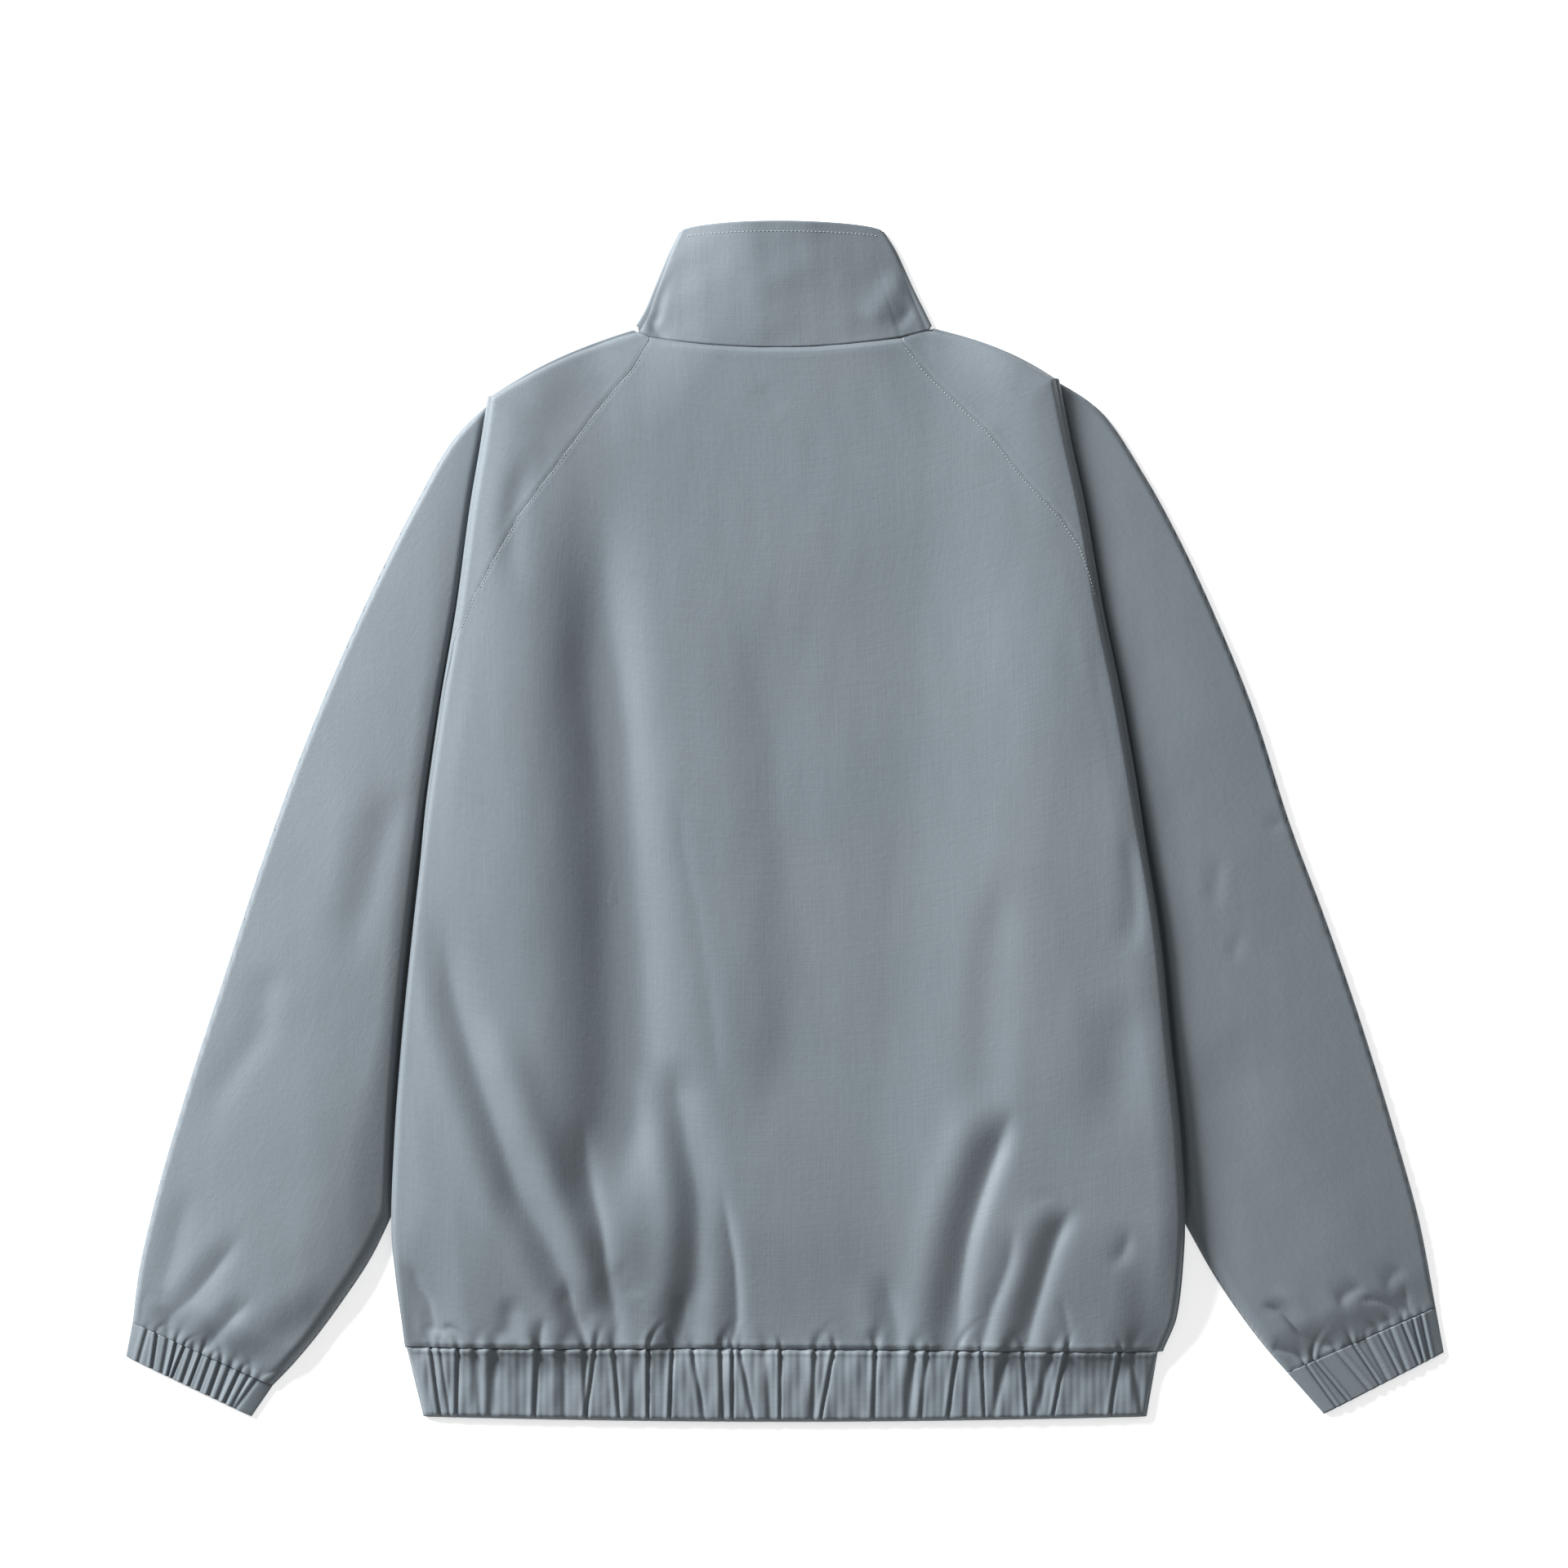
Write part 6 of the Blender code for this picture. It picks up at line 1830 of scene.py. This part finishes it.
# ---------------------------------------------------------------- stitching that shows
@dataclass(frozen=True)
class Stitching:
    """The topstitching that shows: beside both raglan seams, and below the collar's top edge.

    Attributes:
        offsets: Distance of the left and right rows from their seams, towards the body, in mm.
        reach: Shares of the raglan seam where the rows start and end.
        lift: Height of the thread's middle above the cloth's middle surface, in mm.
        collar_row: The collar's row of points, counted from its top, that the stitches follow.
        collar_end: How many columns they stay clear of its side edges.
    """

    offsets: tuple[float, float] = (0.9, 1.9)
    reach: tuple[float, float] = (0.1, 0.975)
    lift: float = 0.33
    collar_row: int = 5
    collar_end: int = 9

    def raglan_line(self, side: Side) -> tuple[Array, Array]:
        """Points of one raglan row on the back's outer face in mm, and the unit normals there."""
        line = np.stack(LAY.raglan(side, np.linspace(*self.reach, 300)), -1)
        forward = unit(np.gradient(line, axis=0))
        inwards = np.stack([forward[:, 1], -forward[:, 0]], -1)
        out, y = (line + inwards * LAY.pick(side, self.offsets)).T
        x, step = side.sign * out, 0.4
        across = (LAY.back_height(x + step, y) - LAY.back_height(x - step, y)) / (2 * step)
        along = (LAY.back_height(x, y + step) - LAY.back_height(x, y - step)) / (2 * step)
        normals = unit(np.stack([-across, -along, np.ones(len(x))], -1))
        return np.stack([x, y, LAY.back_height(x, y)], -1) + normals * self.lift, normals

    def collar_line(self, collar: Collar) -> tuple[Array, Array]:
        """Points of the collar's row on its outer face in mm, and the unit normals there."""
        grid = collar.back()
        normals = ClothWall("collar").normals(grid)
        normals = normals * np.sign(normals[..., 2].mean())
        keep = (-1 - self.collar_row, slice(self.collar_end, -self.collar_end))
        return grid[keep] + normals[keep] * (collar.thickness / 2 + self.lift - 0.3), normals[keep]

    def build(self, finishes: Finishes, collar: Collar) -> None:
        """Makes and dresses both rows of the raglan seams, and the collar's."""
        row = StitchRow("raglan_stitches", pitch=2.45, length=0.6, radius=0.21)
        dress(row.build([self.raglan_line(side) for side in Side]), finishes.thread)
        row = StitchRow("collar_stitches", pitch=2.7, radius=0.22)
        dress(row.build([self.collar_line(collar)]), finishes.thread)


# ---------------------------------------------------------------- front zip
def lofted(name: str, tubes: Array) -> bpy.types.Object:
    """Closed solids through rings of points.

    Args:
        name: The piece's name.
        tubes: (solids, rings, corners, 3) in mm; a solid's first and last ring close it.

    Returns:
        One mesh object with every solid, its faces outwards.
    """
    ring = tubes[0, 0] - tubes[0, 0].mean(0)
    turned = np.cross(ring, np.roll(ring, -1, 0)).sum(0) @ (tubes[0, 1].mean(0) - tubes[0, 0].mean(0))
    tubes = tubes if turned > 0 else tubes[:, :, ::-1]
    solids, rings, corners = tubes.shape[:3]
    number = np.arange(solids * rings * corners).reshape(solids, rings, corners)
    following = np.roll(number, -1, 2)
    quads = np.stack([number[:, :-1], following[:, :-1], following[:, 1:], number[:, 1:]], -1)
    ends = np.concatenate([number[:, 0, ::-1], number[:, -1]])
    return mesh_from(name, tubes.reshape(-1, 3), [quads.reshape(-1, 4), ends])


def rounded_ring(corners: int, power: float) -> Array:
    """(corners, 2) points of a superellipse of half size one: |a|^power + |b|^power = 1."""
    turn = np.arange(corners) * 2 * math.pi / corners
    unit_ring = np.stack([np.cos(turn), np.sin(turn)], -1)
    return np.sign(unit_ring) * np.abs(unit_ring) ** (2.0 / power)


@dataclass(frozen=True)
class FrontZip:
    """The closed front zip beneath the back: two woven tapes and the moulded teeth that mesh between them.

    Attributes:
        low, high: Its ends up the jacket in mm.
        pitch: Distance between the teeth of one side in mm.
        tape: Points of one tape's section, as distance out and level in mm, with the cord at its inner edge.
        tooth: A tooth's sections: distance out, half width along the zip, low level and high level in mm.
        rows: Rings along each tape.
        flat: Width and length of both tapes together in metres; not used.
    """

    low: float = -401.0
    high: float = 328.0
    pitch: float = 2.9
    rows: int = 180
    flat: tuple[float, float] = (0.024, 0.729)
    tape: tuple = (
        (1.0, 2.2), (1.4, 2.0), (3.2, 2.0), (8.0, 2.0), (12.6, 2.0), (13.0, 2.2), (13.0, 2.6),
        (12.6, 2.8), (8.0, 2.75), (3.6, 2.8), (3.0, 3.0), (2.2, 3.1), (1.4, 3.0), (1.0, 2.7),
    )
    tooth: tuple = (
        (3.1, 0.5, 0.7, 1.8), (2.9, 0.72, 0.45, 2.0), (1.6, 0.68, 0.35, 2.05), (0.8, 1.0, 0.3, 2.1),
        (-0.2, 1.02, 0.3, 2.1), (-0.8, 0.8, 0.4, 2.0), (-1.0, 0.45, 0.7, 1.7),
    )

    def build(self, finishes: Finishes) -> None:
        """Makes and dresses the tapes and the teeth."""
        y = np.linspace(self.low, self.high, self.rows)
        section = np.array(self.tape)
        sides = []
        for sign in (-1.0, 1.0):
            x = np.broadcast_to(sign * section[:, 0], (self.rows, len(section)))
            z = section[:, 1] + 0.05 * np.sin(y * 1.9)[:, None] * (section[:, 0] < 3.5)
            tube = np.stack([x, np.broadcast_to(y[:, None], x.shape), z], -1)
            sides.append(tube if sign > 0 else tube[:, ::-1])
        tape = lofted("zip_tape", np.stack(sides))
        dress(tape, finishes.tape, "front_zip")
        rings = np.array(self.tooth)
        shape = rounded_ring(8, 4.0)
        along = rings[:, 1:2] * shape[:, 0]
        level = (rings[:, 2:3] + rings[:, 3:4]) / 2 + (rings[:, 3:4] - rings[:, 2:3]) / 2 * shape[:, 1]
        right = np.stack([np.broadcast_to(rings[:, :1], along.shape), along, level], -1)
        left = right * np.array([-1.0, -1.0, 1.0])
        places = np.arange(self.low + 3.0, self.high - 1.0, self.pitch)
        steps = np.zeros((len(places), 1, 1, 3))
        steps[:, 0, 0, 1] = places
        teeth = lofted("zip_teeth", np.concatenate([right + steps, left + steps + [0.0, self.pitch / 2, 0.0]]))
        dress(teeth, finishes.teeth)


@dataclass(frozen=True)
class Slider:
    """Zip slider above the closed chain: two rounded plates, their flanges and the wedge between them.

    Attributes:
        start, length: Where it begins up the jacket and how long it is, in mm.
        half_widths: Half width of its plates at even places along it, in mm.
        plates: Low and high levels of its lower and upper plate, in mm.
        rings, corners: Fineness of each part.
    """

    start: float = 328.5
    length: float = 13.0
    half_widths: tuple = (3.4, 3.9, 4.3, 4.6, 4.8, 5.0, 4.5)
    plates: tuple = ((0.2, 1.3), (3.4, 4.6))
    wedge: tuple[float, float] = (0.5, 1.4)
    flange: tuple[float, float] = (0.35, 0.6)
    rings: int = 25
    corners: int = 20

    def part(self, centre: Array, half: Array, low: float, high: float) -> Array:
        """Rings of one part.

        Args:
            centre: Distance out of its middle at each ring, in mm.
            half: Half width at each ring, in mm.
            low, high: Its levels in mm.

        Returns:
            (rings, corners, 3) superellipses that shrink towards both ends, in mm.
        """
        place = np.linspace(-1.0, 1.0, self.rings)
        shrink = (1.0 - 0.985 * np.abs(place) ** 10) ** 0.5
        shape = rounded_ring(self.corners, 5.0)
        x = centre[:, None] + (half * shrink)[:, None] * shape[:, 0]
        z = (low + high) / 2 + (high - low) / 2 * (0.55 + 0.45 * shrink)[:, None] * shape[:, 1]
        y = self.start + self.length * (place + 1.0) / 2
        return np.stack([x, np.broadcast_to(y[:, None], x.shape), z], -1)

    def build(self, finishes: Finishes) -> None:
        """Makes and dresses the slider."""
        share = np.linspace(0.0, 1.0, self.rings)
        half = smooth_through(np.linspace(0.0, 1.0, len(self.half_widths)), self.half_widths, share)
        lower, upper = self.plates
        parts = [self.part(0 * half, half, *lower), self.part(0 * half, half, *upper)]
        wedge = self.wedge[0] + (self.wedge[1] - self.wedge[0]) * share
        parts.append(self.part(0 * half, wedge * ramp((share - 0.35) / 0.3) + 0.05, lower[1] - 0.2, upper[0] + 0.2))
        width, height = self.flange
        for sign in (-1.0, 1.0):
            parts.append(self.part(sign * (half - width), 0 * half + width, lower[1] - 0.4, lower[1] + height))
        dress(lofted("slider_body", np.stack(parts)), finishes.metal, "zip_slider")


# ---------------------------------------------------------------- camera, light, floor
@dataclass(frozen=True)
class Studio:
    """Pale floor, soft light from the upper left, and a camera straight above.

    Attributes:
        view_width: Width of the picture on the floor in metres.
        view_centre_y: The picture's centre up the jacket in metres.
        camera_height: In metres.
        sensor: The camera's sensor width in mm.
        floor_size: In metres.
    """

    view_width: float = 1.056
    view_centre_y: float = 0.0253
    camera_height: float = 4.0
    sensor: float = 36.0
    floor_size: float = 12.0
    floor_level: float = -0.0002
    sky: float = 0.28
    key_power: float = 660.0
    key_place: tuple[float, float, float] = (-3.4, 2.3, 1.65)
    key_size: float = 1.5
    fill_power: float = 12.0
    fill_place: tuple[float, float, float] = (0.4, 0.2, 2.8)
    fill_size: float = 3.0

    def light(self, name: str, place: tuple, power: float, size: float) -> None:
        """A square soft light aimed at the jacket.

        Args:
            name: The light's name.
            place: Where it stands, in metres.
            power: In watts.
            size: Its side in metres.
        """
        data = bpy.data.lights.new(name, "AREA")
        data.energy, data.size = power, size
        lamp = bpy.data.objects.new(name, data)
        direction = np.array([0.0, self.view_centre_y, 0.0]) - np.array(place)
        flat = math.hypot(direction[0], direction[1])
        lamp.location = place
        lamp.rotation_euler = (math.atan2(flat, -direction[2]), 0.0, math.atan2(direction[1], direction[0]) - math.pi / 2)
        bpy.context.scene.collection.objects.link(lamp)

    def build(self) -> None:
        """Makes the floor, the lights and the camera."""
        half = self.floor_size / 2 / MM
        level = self.floor_level / MM
        corners = np.array([(-half, -half, level), (half, -half, level), (half, half, level), (-half, half, level)])
        floor = mesh_from("floor", corners, [np.array([[0, 1, 2, 3]])])
        floor.data.materials.append(PaleFloor().material())
        self.light("key_light", self.key_place, self.key_power, self.key_size)
        self.light("fill_light", self.fill_place, self.fill_power, self.fill_size)
        world = bpy.data.worlds.new("studio")
        world.use_nodes = True
        world.node_tree.nodes["Background"].inputs["Color"].default_value = (1.0, 1.0, 1.0, 1.0)
        world.node_tree.nodes["Background"].inputs["Strength"].default_value = self.sky
        bpy.context.scene.world = world
        lens = bpy.data.cameras.new("camera")
        lens.sensor_width = self.sensor
        lens.lens = self.sensor * self.camera_height / self.view_width
        lens.clip_end = 50.0
        camera = bpy.data.objects.new("camera", lens)
        camera.location = (0.0, self.view_centre_y, self.camera_height)
        bpy.context.scene.collection.objects.link(camera)
        bpy.context.scene.camera = camera
        bpy.context.scene.view_settings.view_transform = "Standard"


def main() -> None:
    """Builds the studio and each piece of the jacket in order."""
    logging.basicConfig(level=logging.INFO, format="%(message)s")
    Studio().build()
    finishes = Finishes(
        cloth=WovenCloth().material(),
        thread=SewingThread().material(),
        tape=ZipTape().material(),
        teeth=MouldedPlastic().material(),
        metal=SatinMetal().material(),
    )
    BackPanel().build(finishes)
    for side in Side:
        FrontPanel(side).build(finishes)
        Sleeve(side).build(finishes)
        Cuff(side).build(finishes)
    HemBand().build(finishes)
    Collar().build(finishes)
    Stitching().build(finishes, Collar())
    FrontZip().build(finishes)
    Slider().build(finishes)


if __name__ == "__main__":
    main()
